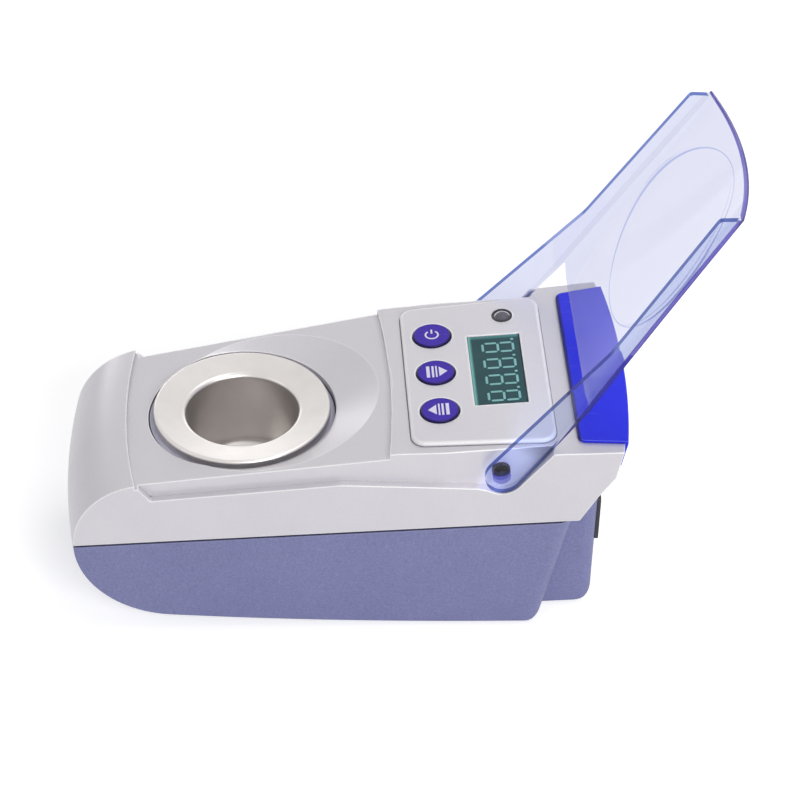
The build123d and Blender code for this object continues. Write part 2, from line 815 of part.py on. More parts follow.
with BuildPart() as saddle_room:
    with BuildSketch(Plane.XY):
        Polygon(*plan_wedge(lid_wall), align=None)
    extrude(amount=far)
    with BuildSketch(Plane.XZ):
        front_foot_x = skirt_front_x + front_lean * ledge_front_z
        front_top_x = skirt_front_x - front_lean * (far - ledge_front_z)
        Polygon((-far, 0), (front_foot_x, 0), (front_top_x, far), (-far, far), align=None)
    extrude(amount=far, both=True)
    with BuildSketch(Plane.XZ):
        low = lid_seat_gap
        Polygon((-far, 0), (far, 0), (far, saddle_z(far) + low), (-far, saddle_z(-far) + low), align=None)
    extrude(amount=far, both=True, mode=Mode.INTERSECT)

with BuildPart() as lid_closed:
    with BuildSketch(Plane.XZ):
        with BuildLine():
            skirt = Polyline(
                (sheet_rear_x, arm_top_z - arm_slope * (pivot_x - sheet_rear_x)),
                (sheet_rear_x, far),
                (skirt_front_x - front_lean * (far - ledge_front_z), far),
                (skirt_front_x - front_lean * lid_seat_gap, skirt_low_z),
                (lid_bend_x, lid_bend_z),
                (pivot_x, pivot_z - arm_below_pivot),
            )
            arm_end = JernArc(skirt @ 1, (1, 0), arm_radius, 180)
            Line(arm_end @ 1, skirt @ 0)
        make_face()
        fillet(vertices().sort_by(Axis.X)[1], skirt_corner)
        bend = vertices().sort_by(lambda v: abs(v.X - lid_bend_x))[0]
        fillet(bend, lid_bend_radius)
    extrude(amount=far, both=True)
    with BuildSketch(Plane.XY):
        Polygon(*plan_wedge(0.0), align=None)
        Polygon(*plan_wedge(lid_wall), align=None, mode=Mode.SUBTRACT)
    extrude(amount=far, mode=Mode.INTERSECT)
    add(above_lid.part, mode=Mode.SUBTRACT)
    add(lid_sheet_form.part)
    add(lid_disc_form.part)
    add(saddle_room.part, mode=Mode.SUBTRACT)
    for s in (1, -1):
        with BuildSketch(Plane(origin=(pivot_x, s * stud_root, pivot_z), z_dir=(0, -s, 0))):
            Circle(stud_radius)
        extrude(amount=lid_wall / 2 + stud_length)
        snap_y = s * (pocket_inner - stud_snap_gap)
        with BuildSketch(Plane(origin=(pivot_x, snap_y, pivot_z), z_dir=(0, -s, 0))):
            Circle(stud_radius + stud_snap)
        extrude(amount=stud_snap_thick, taper=stud_snap_taper)
        with BuildSketch(Plane(origin=(pivot_x, s * (pocket_half + lid_gap), pivot_z), z_dir=(0, -s, 0))):
            Rectangle(4 * stud_radius, stud_slot, rotation=45)
        extrude(amount=2 * stud_length, mode=Mode.SUBTRACT)
with BuildPart() as lid:
    add(lid_closed.part.rotate(Axis((pivot_x, 0, pivot_z), (0, 1, 0)), lid_open_angle))

# ---------------------------------------------------------------- rear trim and control panel
with BuildPart() as rear_trim:
    add(shell_form(-trim_rise, -trim_rise, 0.0))
    add(outer_form, mode=Mode.SUBTRACT)
    with BuildSketch(Plane.XY.offset(top_height - trim_drop)):
        Polygon(
            (trim_front_x, -trim_half_front),
            (trim_rear_x, -trim_half_end),
            (trim_rear_x, trim_half_end),
            (trim_front_x, trim_half_front),
            align=None,
        )
        fillet(vertices().group_by(Axis.X)[0], trim_front_corner)
    extrude(amount=far, mode=Mode.INTERSECT)

with BuildPart() as control_panel:
    with BuildSketch(at_hump(0, 0, -panel_seat)):
        Polygon(
            (-panel_length / 2, -panel_half_front),
            (panel_length / 2, -panel_half_rear),
            (panel_length / 2, panel_half_rear),
            (-panel_length / 2, panel_half_front),
            align=None,
        )
        fillet(vertices(), panel_corner)
        offset(amount=-panel_gap)
    extrude(amount=panel_seat + panel_rise)
    fillet(faces().sort_by(Axis.Z)[-1].outer_wire().edges(), panel_edge)
    with BuildSketch(at_hump(0, 0, -panel_seat)):
        for v in buttons_at.values():
            with Locations((button_u, v)):
                Circle(button_hole)
        with Locations((lcd_u, 0)):
            Rectangle(lcd_wide + 2 * panel_gap, lcd_long + 2 * panel_gap)
        with Locations((led_u, led_v)):
            Circle(led_radius - led_rim + panel_gap)
    extrude(amount=panel_seat + panel_rise, mode=Mode.SUBTRACT)

with BuildPart() as lcd_window:
    with BuildSketch(at_hump(lcd_u, 0, -panel_seat)):
        RectangleRounded(lcd_wide, lcd_long, panel_gap)
    extrude(amount=panel_seat + panel_rise - lcd_drop)

with BuildPart() as lcd_module:
    with BuildSketch(at_hump(lcd_u, 0, -wall - panel_gap)):
        Rectangle(lcd_wide + 2 * lcd_frame, lcd_long + lcd_frame)
    extrude(amount=-lcd_module_thick)
    with BuildSketch(at_hump(lcd_u, 0, main_board_top)):
        with GridLocations(lcd_wide + lcd_frame, lcd_long - lcd_frame, 2, 2):
            Rectangle(lcd_leg, 2 * lcd_leg)
    extrude(amount=-main_board_top - wall - panel_gap - lcd_module_thick)

with BuildPart() as indicator_bezel:
    with BuildSketch(at_hump(led_u, led_v, panel_rise)):
        Circle(led_radius)
        Circle(led_radius - led_rim, mode=Mode.SUBTRACT)
    extrude(amount=led_proud)
    with BuildSketch(at_hump(led_u, led_v, 0.0)):
        Circle(led_radius - led_rim)
        Circle(led_body_radius + led_gap, mode=Mode.SUBTRACT)
    extrude(amount=panel_rise + led_seat)

with BuildPart() as indicator_lens:
    spot = at_hump(led_u, led_v, 0.0)
    with BuildSketch(Plane(origin=spot.origin, x_dir=spot.x_dir, z_dir=(0, -1, 0))):
        with BuildLine():
            shoulder = led_radius - led_rim - panel_gap
            rim = panel_rise + led_seat
            stem = Polyline(
                (0, main_board_top + led_standoff),
                (led_body_radius, main_board_top + led_standoff),
                (led_body_radius, rim),
                (shoulder, rim),
            )
            dome = RadiusArc(stem @ 1, (0, rim + led_dome), -(shoulder**2 + led_dome**2) / (2 * led_dome))
            Line(dome @ 1, stem @ 0)
        make_face()
    revolve(axis=Axis(spot.origin, spot.z_dir))
    with BuildSketch(at_hump(led_u, led_v, main_board_top)):
        with GridLocations(led_body_radius, 1, 2, 1):
            Circle(led_leg_radius)
    extrude(amount=led_standoff)

# ---------------------------------------------------------------- buttons and their switches
button_parts = {}
for name, v in buttons_at.items():
    with BuildPart() as button:
        with BuildSketch(at_hump(button_u, v, -wall - roof_gap - button_skirt)):
            Circle(button_skirt_radius)
        extrude(amount=button_skirt)
        with BuildSketch(at_hump(button_u, v, -wall - roof_gap)):
            Circle(button_radius)
        extrude(amount=wall + roof_gap + panel_rise + button_rise)
        chamfer(faces().sort_by(Axis.Z)[-1].edges(), button_edge)
        with BuildSketch(at_hump(button_u, v, tact_top + button_travel + roof_gap)):
            Circle(tact_stem_radius)
        extrude(amount=-wall - roof_gap - tact_top - button_travel - roof_gap)
    button_parts[name] = button.part

with BuildPart() as tact_switches:
    for v in buttons_at.values():
        with BuildSketch(at_hump(button_u, v, main_board_top)):
            Rectangle(tact_size, tact_size)
        extrude(amount=tact_body)
        with BuildSketch(at_hump(button_u, v, main_board_top + tact_body)):
            Circle(tact_stem_radius)
        extrude(amount=tact_top - main_board_top - tact_body)

# ---------------------------------------------------------------- main board
with BuildPart() as main_board:
    with BuildSketch(at_hump((main_board_front + main_board_rear) / 2, 0, main_board_top)):
        Rectangle(main_board_rear - main_board_front, 2 * main_board_half)
        shift = (main_board_front + main_board_rear) / 2
        notch_u = (screw_rear[0] - panel_x) * sqrt(1 + hump_slope**2) + main_board_top * hump_slope - shift
        with Locations(*[(notch_u, s * screw_rear[1]) for s in (1, -1)]):
            Circle(boss_radius + 2 * seam_gap, mode=Mode.SUBTRACT)
        with Locations(*[(u - shift, v) for u, v in main_posts_at]):
            Circle(board_screw_radius + panel_gap, mode=Mode.SUBTRACT)
    extrude(amount=-board_thickness)

with BuildPart() as board_parts:
    for u, v, long, wide, high in under_board_parts:
        with BuildSketch(at_hump(u, v, main_board_top - board_thickness)):
            Rectangle(long, wide)
        extrude(amount=-high)

with BuildPart() as buzzer:
    with BuildSketch(at_hump(buzzer_u, buzzer_v, main_board_top - board_thickness)):
        Circle(buzzer_radius)
    extrude(amount=-buzzer_high)
    with BuildSketch(at_hump(buzzer_u, buzzer_v, main_board_top - board_thickness - buzzer_high)):
        Circle(buzzer_hole)
    extrude(amount=buzzer_hole, mode=Mode.SUBTRACT)

with BuildPart() as board_screws:
    for u, v in main_posts_at:
        with BuildSketch(at_hump(u, v, main_board_top - board_thickness)):
            RegularPolygon(board_screw_head, 6)
        extrude(amount=-board_screw_radius)
        with BuildSketch(at_hump(u, v, main_board_top - board_thickness)):
            Circle(board_screw_radius)
        extrude(amount=board_screw_length)
    for x, y in power_posts_at:
        with BuildSketch(Plane.XY.offset(power_board_z + board_thickness)):
            with Locations((x, y)):
                RegularPolygon(board_screw_head, 6)
        extrude(amount=board_screw_radius)
        with BuildSketch(Plane.XY.offset(power_board_z + board_thickness)):
            with Locations((x, y)):
                Circle(board_screw_radius)
        extrude(amount=-board_screw_length)

# ---------------------------------------------------------------- wax pot and heater
pot_floor_z = pot_top - pot_dish - pot_lip - pot_depth
pot_under = pot_floor_z - pot_floor
flange_low = pot_top - pot_flange_thickness
pot_axis = Axis((pot_x, 0, 0), (0, 0, 1))


def revolved_ring(outline):
    """Turned piece about the pot axis from radius and height pairs."""
    with BuildPart() as ring:
        with BuildSketch(Plane.XZ):
            Polygon(*[(pot_x + r, z) for r, z in outline], align=None)
        revolve(axis=pot_axis)
    return ring.part


with BuildPart() as wax_pot:
    with BuildSketch(Plane.XZ):
        with BuildLine():
            inner = Polyline((pot_x, pot_floor_z), (pot_x + pot_bore_radius - pot_corner, pot_floor_z))
            turn = TangentArc(
                inner @ 1, (pot_x + pot_bore_radius, pot_floor_z + pot_corner), tangent=(1, 0)
            )
            bore = Line(turn @ 1, (pot_x + pot_bore_radius, pot_top - pot_dish - pot_lip))
            lip = TangentArc(bore @ 1, (pot_x + pot_lip_radius, pot_top - pot_dish), tangent=(0, 1))
            dish = Line(lip @ 1, (pot_x + pot_flange_radius - pot_rim, pot_top))
            rim_turn = TangentArc(dish @ 1, (pot_x + pot_flange_radius, pot_top - pot_rim), tangent=(1, 0))
            Polyline(
                rim_turn @ 1,
                (pot_x + pot_flange_radius, flange_low),
                (pot_x + pot_outer, flange_low),
                (pot_x + pot_outer, pot_under + pot_floor),
                (pot_x + pot_outer - pot_floor, pot_under),
                (pot_x, pot_under),
                inner @ 0,
            )
        make_face()
    revolve(axis=pot_axis)

collar_low = flange_low - collar_height
with BuildPart() as insulating_collar:
    add(
        revolved_ring(
            [
                (pot_outer + collar_gap, collar_low),
                (well_radius - seam_gap / 2, collar_low),
                (well_radius - seam_gap / 2, flange_low),
                (pot_outer + collar_gap, flange_low),
            ]
        )
    )

with BuildPart() as heat_shield:
    add(
        revolved_ring(
            [
                (sleeve_outer, collar_low),
                (well_radius - seam_gap / 2, collar_low),
                (well_radius - seam_gap / 2, collar_low - can_sheet),
                (can_radius, collar_low - can_sheet),
                (can_radius, can_bottom),
                (can_hole_radius, can_bottom),
                (can_hole_radius, can_bottom + can_sheet),
                (can_radius - can_sheet, can_bottom + can_sheet),
                (can_radius - can_sheet, collar_low - can_sheet),
                (sleeve_outer, collar_low - can_sheet),
            ]
        )
    )

with BuildPart() as band_heater:
    add(
        revolved_ring(
            [
                (heater_inner, heater_low),
                (heater_outer, heater_low),
                (heater_outer, heater_high),
                (heater_inner, heater_high),
            ]
        )
    )
    with BuildSketch(Plane.XY):
        with Locations((pot_x + heater_outer, 0)):
            Rectangle(2 * heater_thick + heater_outer / 2, heater_split)
    extrude(amount=far, mode=Mode.SUBTRACT)

strap_screw_x = pot_x + heater_outer + strap_ear - strap_screw_inset
with BuildPart() as heater_strap:
    add(
        revolved_ring(
            [
                (heater_outer, strap_z - strap_wide / 2),
                (strap_outer, strap_z - strap_wide / 2),
                (strap_outer, strap_z + strap_wide / 2),
                (heater_outer, strap_z + strap_wide / 2),
            ]
        )
    )
    with BuildSketch(Plane.XY):
        with Locations((pot_x + heater_outer, 0)):
            Rectangle(heater_outer / 2, heater_split)
    extrude(amount=far, mode=Mode.SUBTRACT)
    with BuildSketch(Plane.XY.offset(strap_z - strap_wide / 2)):
        with Locations((pot_x + heater_outer + strap_ear / 2, 0)):
            with GridLocations(1, heater_split + strap_thick, 1, 2):
                Rectangle(strap_ear, strap_thick)
    extrude(amount=strap_wide)
    with BuildSketch(Plane.XZ.offset(-far)):
        with Locations((strap_screw_x, strap_z)):
            Circle(strap_screw_radius + roof_gap)
    extrude(amount=2 * far, mode=Mode.SUBTRACT)

with BuildPart() as strap_screw:
    with BuildSketch(Plane.XZ.offset(-heater_split / 2 - strap_thick - strap_head)):
        with Locations((strap_screw_x, strap_z)):
            RegularPolygon(strap_nut_radius, 6)
    extrude(amount=strap_head)
    with BuildSketch(Plane.XZ.offset(-heater_split / 2 - strap_thick)):
        with Locations((strap_screw_x, strap_z)):
            Circle(strap_screw_radius)
    extrude(amount=heater_split + 3 * strap_thick + strap_head)
    with BuildSketch(Plane.XZ.offset(heater_split / 2 + strap_thick)):
        with Locations((strap_screw_x, strap_z)):
            RegularPolygon(strap_nut_radius, 6)
    extrude(amount=strap_head)

with BuildPart() as insulation_sleeve:
    add(
        revolved_ring(
            [
                (sleeve_inner, heater_low),
                (sleeve_outer, heater_low),
                (sleeve_outer, collar_low),
                (sleeve_inner, collar_low),
            ]
        )
    )
    with BuildSketch(Plane.XY):
        with Locations((pot_x + sleeve_outer, 0)):
            Rectangle(sleeve_outer, sleeve_split)
    extrude(amount=far, mode=Mode.SUBTRACT)

with BuildPart() as temperature_sensor:
    with BuildSketch(Plane.XY.offset(pot_under)):
        with Locations((pot_x, 0)):
            Circle(sensor_radius)
    extrude(amount=-sensor_high)
    with BuildSketch(Plane.XY.offset(pot_under - sensor_high)):
        with Locations((pot_x, 0)):
            with GridLocations(lead_pitch, 1, 2, 1):
                Circle(lead_radius)
    extrude(amount=can_bottom - lead_exit - pot_under + sensor_high)

with BuildPart() as thermal_fuse:
    with BuildSketch(Plane.XZ.offset(-fuse_long / 2)):
        with Locations((pot_x + fuse_offset, pot_under - fuse_radius)):
            Circle(fuse_radius)
    extrude(amount=fuse_long)

# ---------------------------------------------------------------- power board
power_top = power_board_z + board_thickness
with BuildPart() as power_board:
    with BuildSketch(Plane.XY.offset(power_board_z)):
        with Locations((power_board_x, 0)):
            Rectangle(power_board_long, power_board_wide)
        with Locations(*power_posts_at):
            Circle(board_screw_radius + panel_gap, mode=Mode.SUBTRACT)
    extrude(amount=board_thickness)

with BuildPart() as transformer:
    x, y, long, wide, high = transformer_block
    with BuildSketch(Plane.XY.offset(power_top)):
        with Locations((x, y)):
            Rectangle(transformer_core, wide)
    extrude(amount=high)
    with BuildSketch(Plane.XY.offset(power_top + winding_inset)):
        with Locations((x, y)):
            RectangleRounded(long, winding_wide, board_thickness)
    extrude(amount=high - 2 * winding_inset)

power_parts = {}
for name, (x, y, long, wide, high) in power_blocks.items():
    with BuildPart() as block:
        with BuildSketch(Plane.XY.offset(power_top)):
            with Locations((x, y)):
                Rectangle(long, wide)
        extrude(amount=high)
    power_parts[name] = block.part

with BuildPart() as capacitors:
    for x, y, radius, high in capacitor_cans:
        with BuildSketch(Plane.XY.offset(power_top)):
            with Locations((x, y)):
                Circle(radius)
        extrude(amount=high)

with BuildPart() as line_fuse:
    x, y, radius, long = line_fuse_tube
    with BuildSketch(Plane.XZ.offset(-y - long / 2)):
        with Locations((x, power_top + radius + board_thickness)):
            Circle(radius)
    extrude(amount=long)
    for end in (-1, 1):
        with BuildSketch(Plane.XY.offset(power_top)):
            with Locations((x, y + end * (long / 2 - fuse_clip_inset))):
                Rectangle(2 * radius, board_thickness)
        extrude(amount=radius + board_thickness)

# ---------------------------------------------------------------- rear fittings
with BuildPart() as switch_case:
    with BuildSketch(at_tail(switch_y, 0.0)):
        RectangleRounded(*switch_flange, fitting_corner)
    extrude(amount=fitting_flange)
    with BuildSketch(at_tail(switch_y, 0.0)):
        Rectangle(*switch_body)
    extrude(amount=-switch_deep)
    with BuildSketch(at_tail(switch_y, fitting_flange)):
        Rectangle(2 * rocker_half + 2 * rocker_gap, rocker_wide + 2 * rocker_gap)
    extrude(amount=-fitting_flange - rocker_pocket, mode=Mode.SUBTRACT)
    with BuildSketch(switch_hinge_plane(rocker_wide / 2 + rocker_pin_long + rocker_gap)):
        Circle(rocker_pin_radius + pin_gap)
    extrude(amount=-rocker_wide - 2 * rocker_pin_long - 2 * rocker_gap, mode=Mode.SUBTRACT)
    with BuildSketch(at_tail(switch_y, -switch_deep)):
        with GridLocations(tab_pitch, 1, 2, 1):
            Rectangle(tab_thick, tab_wide)
    extrude(amount=-tab_long)

with BuildPart() as rocker_level:
    with BuildSketch(switch_hinge_plane(rocker_wide / 2)):
        with BuildLine():
            reach = 1.5 * rocker_half
            top_rise = reach * tan(radians(rocker_tilt))
            floor_rise = reach * tan(radians(1.5 * rocker_tilt))
            Polyline(
                (0, rocker_depth + fitting_flange),
                (reach, rocker_depth + fitting_flange + top_rise),
                (reach, floor_rise - rocker_belly),
                (0, -rocker_belly),
                (-reach, floor_rise - rocker_belly),
                (-reach, rocker_depth + fitting_flange + top_rise),
                close=True,
            )
        make_face()
        Circle(rocker_half, mode=Mode.INTERSECT)
    extrude(amount=-rocker_wide)
    with BuildSketch(switch_hinge_plane(rocker_wide / 2 + rocker_pin_long)):
        Circle(rocker_pin_radius)
    extrude(amount=-rocker_wide - 2 * rocker_pin_long)

with BuildPart() as switch_rocker:
    hinge = switch_hinge_plane(0.0)
    add(rocker_level.part.rotate(Axis(hinge.origin, hinge.z_dir), -rocker_tilt))

with BuildPart() as power_inlet:
    with BuildSketch(at_tail(inlet_y, 0.0)):
        RectangleRounded(*inlet_flange, fitting_corner)
    extrude(amount=fitting_flange)
    with BuildSketch(at_tail(inlet_y, 0.0)):
        Rectangle(*inlet_body)
    extrude(amount=-inlet_deep)
    with BuildSketch(at_tail(inlet_y, fitting_flange)):
        SlotCenterToCenter(inlet_pitch, 2 * inlet_lobe_radius)
    extrude(amount=-inlet_socket, mode=Mode.SUBTRACT)
    with BuildSketch(at_tail(inlet_y, fitting_flange - inlet_socket)):
        with GridLocations(inlet_pitch, 1, 2, 1):
            Circle(inlet_pin_radius)
    extrude(amount=inlet_socket - fitting_flange - inlet_pin_radius)
    with BuildSketch(at_tail(inlet_y, -inlet_deep)):
        with GridLocations(tab_pitch, 1, 2, 1):
            Rectangle(tab_thick, tab_wide)
    extrude(amount=-tab_long)

# ---------------------------------------------------------------- feet and case screws
with BuildPart() as rubber_feet:
    for x, y in feet_at:
        with BuildSketch(Plane.XY):
            with Locations((x, y)):
                Circle(foot_radius - foot_bevel)
        extrude(amount=foot_bevel, taper=-45)
        with BuildSketch(Plane.XY.offset(foot_bevel)):
            with Locations((x, y)):
                Circle(foot_radius)
        extrude(amount=foot_height - foot_bevel)

with BuildPart() as case_screws:
    for x, y in case_screws_at:
        seat = seam_z(x) - screw_seat_drop
        with BuildSketch(Plane.XY.offset(seat - screw_head)):
            with Locations((x, y)):
                Circle(screw_head_radius)
        extrude(amount=screw_head)
        with BuildSketch(Plane.XY.offset(seat)):
            with Locations((x, y)):
                Circle(screw_radius)
        extrude(amount=screw_length)

nodes = {
    "upper_housing": upper_housing.part,
    "lower_housing": lower_housing.part,
    "lid": lid.part,
    "rear_trim": rear_trim.part,
    "control_panel": control_panel.part,
    "lcd_window": lcd_window.part,
    "lcd_module": lcd_module.part,
    "indicator_bezel": indicator_bezel.part,
    "indicator_lens": indicator_lens.part,
    "button_mode": button_parts["mode"],
    "button_up": button_parts["up"],
    "button_down": button_parts["down"],
    "tact_switches": tact_switches.part,
    "main_board": main_board.part,
    "board_parts": board_parts.part,
    "buzzer": buzzer.part,
    "board_screws": board_screws.part,
    "wax_pot": wax_pot.part,
    "insulating_collar": insulating_collar.part,
    "heat_shield": heat_shield.part,
    "band_heater": band_heater.part,
    "heater_strap": heater_strap.part,
    "strap_screw": strap_screw.part,
    "insulation_sleeve": insulation_sleeve.part,
    "temperature_sensor": temperature_sensor.part,
    "thermal_fuse": thermal_fuse.part,
    "power_board": power_board.part,
    "transformer": transformer.part,
    "relay": power_parts["relay"],
    "terminal_block": power_parts["terminal_block"],
    "capacitors": capacitors.part,
    "line_fuse": line_fuse.part,
    "switch_case": switch_case.part,
    "switch_rocker": switch_rocker.part,
    "power_inlet": power_inlet.part,
    "rubber_feet": rubber_feet.part,
    "case_screws": case_screws.part,
}
os.makedirs("parts", exist_ok=True)
front_end = min(piece.bounding_box().min.X for piece in nodes.values())
rear_end = max(piece.bounding_box().max.X for piece in nodes.values())
for name, piece in nodes.items():
    placed = piece.moved(Location((-(front_end + rear_end) / 2, 0, 0)))
    placed.label = name
    export_step(placed, f"parts/{name}.step")
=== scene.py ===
from functools import partial
from math import cos, pi, radians, sin

import bmesh
import bpy
from mathutils import Matrix, Vector


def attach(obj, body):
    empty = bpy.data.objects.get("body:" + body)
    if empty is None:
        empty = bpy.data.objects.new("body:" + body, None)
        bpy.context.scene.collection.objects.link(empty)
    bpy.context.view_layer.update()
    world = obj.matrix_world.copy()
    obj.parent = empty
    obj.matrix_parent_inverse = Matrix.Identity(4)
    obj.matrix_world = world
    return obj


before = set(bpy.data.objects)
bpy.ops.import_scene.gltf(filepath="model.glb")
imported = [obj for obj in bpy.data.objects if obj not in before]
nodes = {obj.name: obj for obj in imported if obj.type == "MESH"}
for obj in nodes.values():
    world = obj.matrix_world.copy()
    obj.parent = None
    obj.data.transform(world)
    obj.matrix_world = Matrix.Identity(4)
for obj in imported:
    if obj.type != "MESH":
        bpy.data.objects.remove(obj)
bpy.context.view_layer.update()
mm = 0.001                   # a millimetre in the scene's metres
print("stage: frame loaded,", len(nodes), "CAD pieces")


def addObject(name, data):
    made = bpy.data.objects.new(name, data)
    bpy.context.scene.collection.objects.link(made)
    return made


cameraSettings = {
    "place": Vector((-0.03534, -0.70198, 0.61251)),
    "right": Vector((0.99868, -0.05143, 0.0)),
    "up": Vector((0.0320, 0.6208, 0.7833)),
    "roll": radians(-0.639),
    "lens": 145.88,          # mm, on a sensor of the width below
    "sensor": 36.0,
    "clip": (0.01, 20.0),
}


def makeCamera(settings):
    data = bpy.data.cameras.new("camera")
    data.lens = settings["lens"]
    data.sensor_width = settings["sensor"]
    data.clip_start, data.clip_end = settings["clip"]
    right = settings["right"] * cos(settings["roll"]) + settings["up"] * sin(settings["roll"])
    up = settings["up"] * cos(settings["roll"]) - settings["right"] * sin(settings["roll"])
    right.normalize()
    back = right.cross(up).normalized()
    up = back.cross(right)
    turn = Matrix((right, up, back)).transposed().to_4x4()
    camera = addObject("camera", data)
    camera.matrix_world = Matrix.Translation(settings["place"]) @ turn
    bpy.context.scene.camera = camera


makeCamera(cameraSettings)
print("stage: camera made")


def tint(red, green, blue):
    # screen values from 0 to 255, turned into the linear colour that the shaders want
    shown = [value / 255 for value in (red, green, blue)]
    linear = [c / 12.92 if c <= 0.04045 else ((c + 0.055) / 1.055) ** 2.4 for c in shown]
    return (*linear, 1.0)


def addNode(tree, kind, values=None, **settings):
    # values: what each input takes, a fixed value or the socket that feeds it
    node = tree.nodes.new(kind)
    for key, value in settings.items():
        setattr(node, key, value)
    for key, value in (values or {}).items():
        if isinstance(value, bpy.types.NodeSocket):
            tree.links.new(value, node.inputs[key])
        else:
            node.inputs[key].default_value = value
    return node


def calc(tree, operation, *values, clamp=False):
    node = addNode(tree, "ShaderNodeMath", dict(enumerate(values)), operation=operation, use_clamp=clamp)
    return node.outputs[0]


def vectorCalc(tree, operation, values):
    return addNode(tree, "ShaderNodeVectorMath", values, operation=operation).outputs


def remap(tree, value, low, high, start=0.0, end=1.0, **settings):
    # gives start at low and end at high, and holds them beyond
    return addNode(tree, "ShaderNodeMapRange", {
        "Value": value, "From Min": low, "From Max": high, "To Min": start, "To Max": end,
    }, **settings).outputs[0]


def noise(tree, place, scale, detail, roughness=0.5, **settings):
    return addNode(tree, "ShaderNodeTexNoise", {
        "Vector": place, "Scale": scale, "Detail": detail, "Roughness": roughness,
    }, **settings).outputs["Fac"]


mixMask, mixUnder, mixOver, mixResult = 0, 6, 7, 2     # sockets of a Mix node that is set to colours


def blend(tree, mask, under, over):
    # lays one colour over another where the mask is 1
    return addNode(tree, "ShaderNodeMix", {
        mixMask: mask, mixUnder: under, mixOver: over,
    }, data_type="RGBA").outputs[mixResult]


def objectPlace(tree):
    return addNode(tree, "ShaderNodeTexCoord").outputs["Object"]


def newGroup(name, inputs, outputs):
    group = bpy.data.node_groups.new(name, "ShaderNodeTree")
    for label, kind, value in inputs:
        group.interface.new_socket(name=label, in_out="INPUT", socket_type=kind).default_value = value
    for label, kind in outputs:
        group.interface.new_socket(name=label, in_out="OUTPUT", socket_type=kind)
    return group, group.nodes.new("NodeGroupInput").outputs


def placeGroup(tree, group, values):
    return addNode(tree, "ShaderNodeGroup", values, node_tree=group).outputs


floatSocket = "NodeSocketFloat"
colorSocket = "NodeSocketColor"
vectorSocket = "NodeSocketVector"

grainSettings = {
    "mottleDetail": (5.0, 0.55),             # noise detail and roughness
    "mottleCut": (0.3, 0.7),                 # noise levels between which the second colour comes in
    "speckleDetail": (2.0, 0.6),
    "speckleCut": (0.35, 0.65),
    "scuffScale": (60.0, 1500.0, 900.0),     # low along a scuff, high across it
    "scuffTurn": (0.35, 0.2, 0.6),
    "scuffDetail": 3.0,
    "scuffCut": (0.66, 0.74),                # high, so that scuffs are sparse
    "scuffColor": (0.85, 0.85, 0.86, 1),
    "scuffRoughness": 0.12,                  # added where the surface is scuffed
    "scuffHeight": -0.4,
}


def buildGrain(settings):
    # moulded or painted surface: slow mottle, fine speckle, sparse fine scuffs
    group, given = newGroup("surfaceGrain", [
        ("Color", colorSocket, (0.5, 0.5, 0.5, 1)),
        ("Second", colorSocket, (0.6, 0.6, 0.6, 1)),
        ("Mottle Size", floatSocket, 70.0),
        ("Mottle", floatSocket, 0.5),
        ("Speckle Size", floatSocket, 2600.0),
        ("Speckle", floatSocket, 0.05),
        ("Scuffs", floatSocket, 0.1),
        ("Roughness", floatSocket, 0.4),
        ("Roughness Spread", floatSocket, 0.08),
    ], [("Color", colorSocket), ("Roughness", floatSocket), ("Height", floatSocket)])
    place = objectPlace(group)
    slow = noise(group, place, given["Mottle Size"], *settings["mottleDetail"])
    fine = noise(group, place, given["Speckle Size"], *settings["speckleDetail"])
    stretched = addNode(group, "ShaderNodeMapping", {
        "Vector": place, "Rotation": settings["scuffTurn"], "Scale": settings["scuffScale"],
    }).outputs[0]
    marks = noise(group, stretched, 1.0, settings["scuffDetail"])
    scuffed = calc(group, "MULTIPLY", remap(group, marks, *settings["scuffCut"]), given["Scuffs"])
    mottled = calc(group, "MULTIPLY", remap(group, slow, *settings["mottleCut"]), given["Mottle"])
    tone = blend(group, mottled, given["Color"], given["Second"])
    dots = calc(group, "MULTIPLY", remap(group, fine, *settings["speckleCut"], start=-1.0), given["Speckle"])
    speckled = vectorCalc(group, "SCALE", {0: tone, "Scale": calc(group, "ADD", dots, 1.0)})[0]
    spread = calc(group, "MULTIPLY", calc(group, "SUBTRACT", slow, 0.5), given["Roughness Spread"])
    rough = calc(group, "ADD", spread, given["Roughness"])
    addNode(group, "NodeGroupOutput", {
        "Color": blend(group, scuffed, speckled, settings["scuffColor"]),
        "Roughness": calc(group, "MULTIPLY_ADD", scuffed, settings["scuffRoughness"], rough),
        "Height": calc(group, "MULTIPLY_ADD", scuffed, settings["scuffHeight"], fine),
    })
    return group


edgeSettings = {
    "bevelSamples": 6,
    "openSamples": 8,
    "creaseCut": (0.72, 0.35),   # openness at which the painted crease shade begins, and is full
    "outerCut": (0.45, 0.75),    # openness between which an edge comes to count as an outer one
}


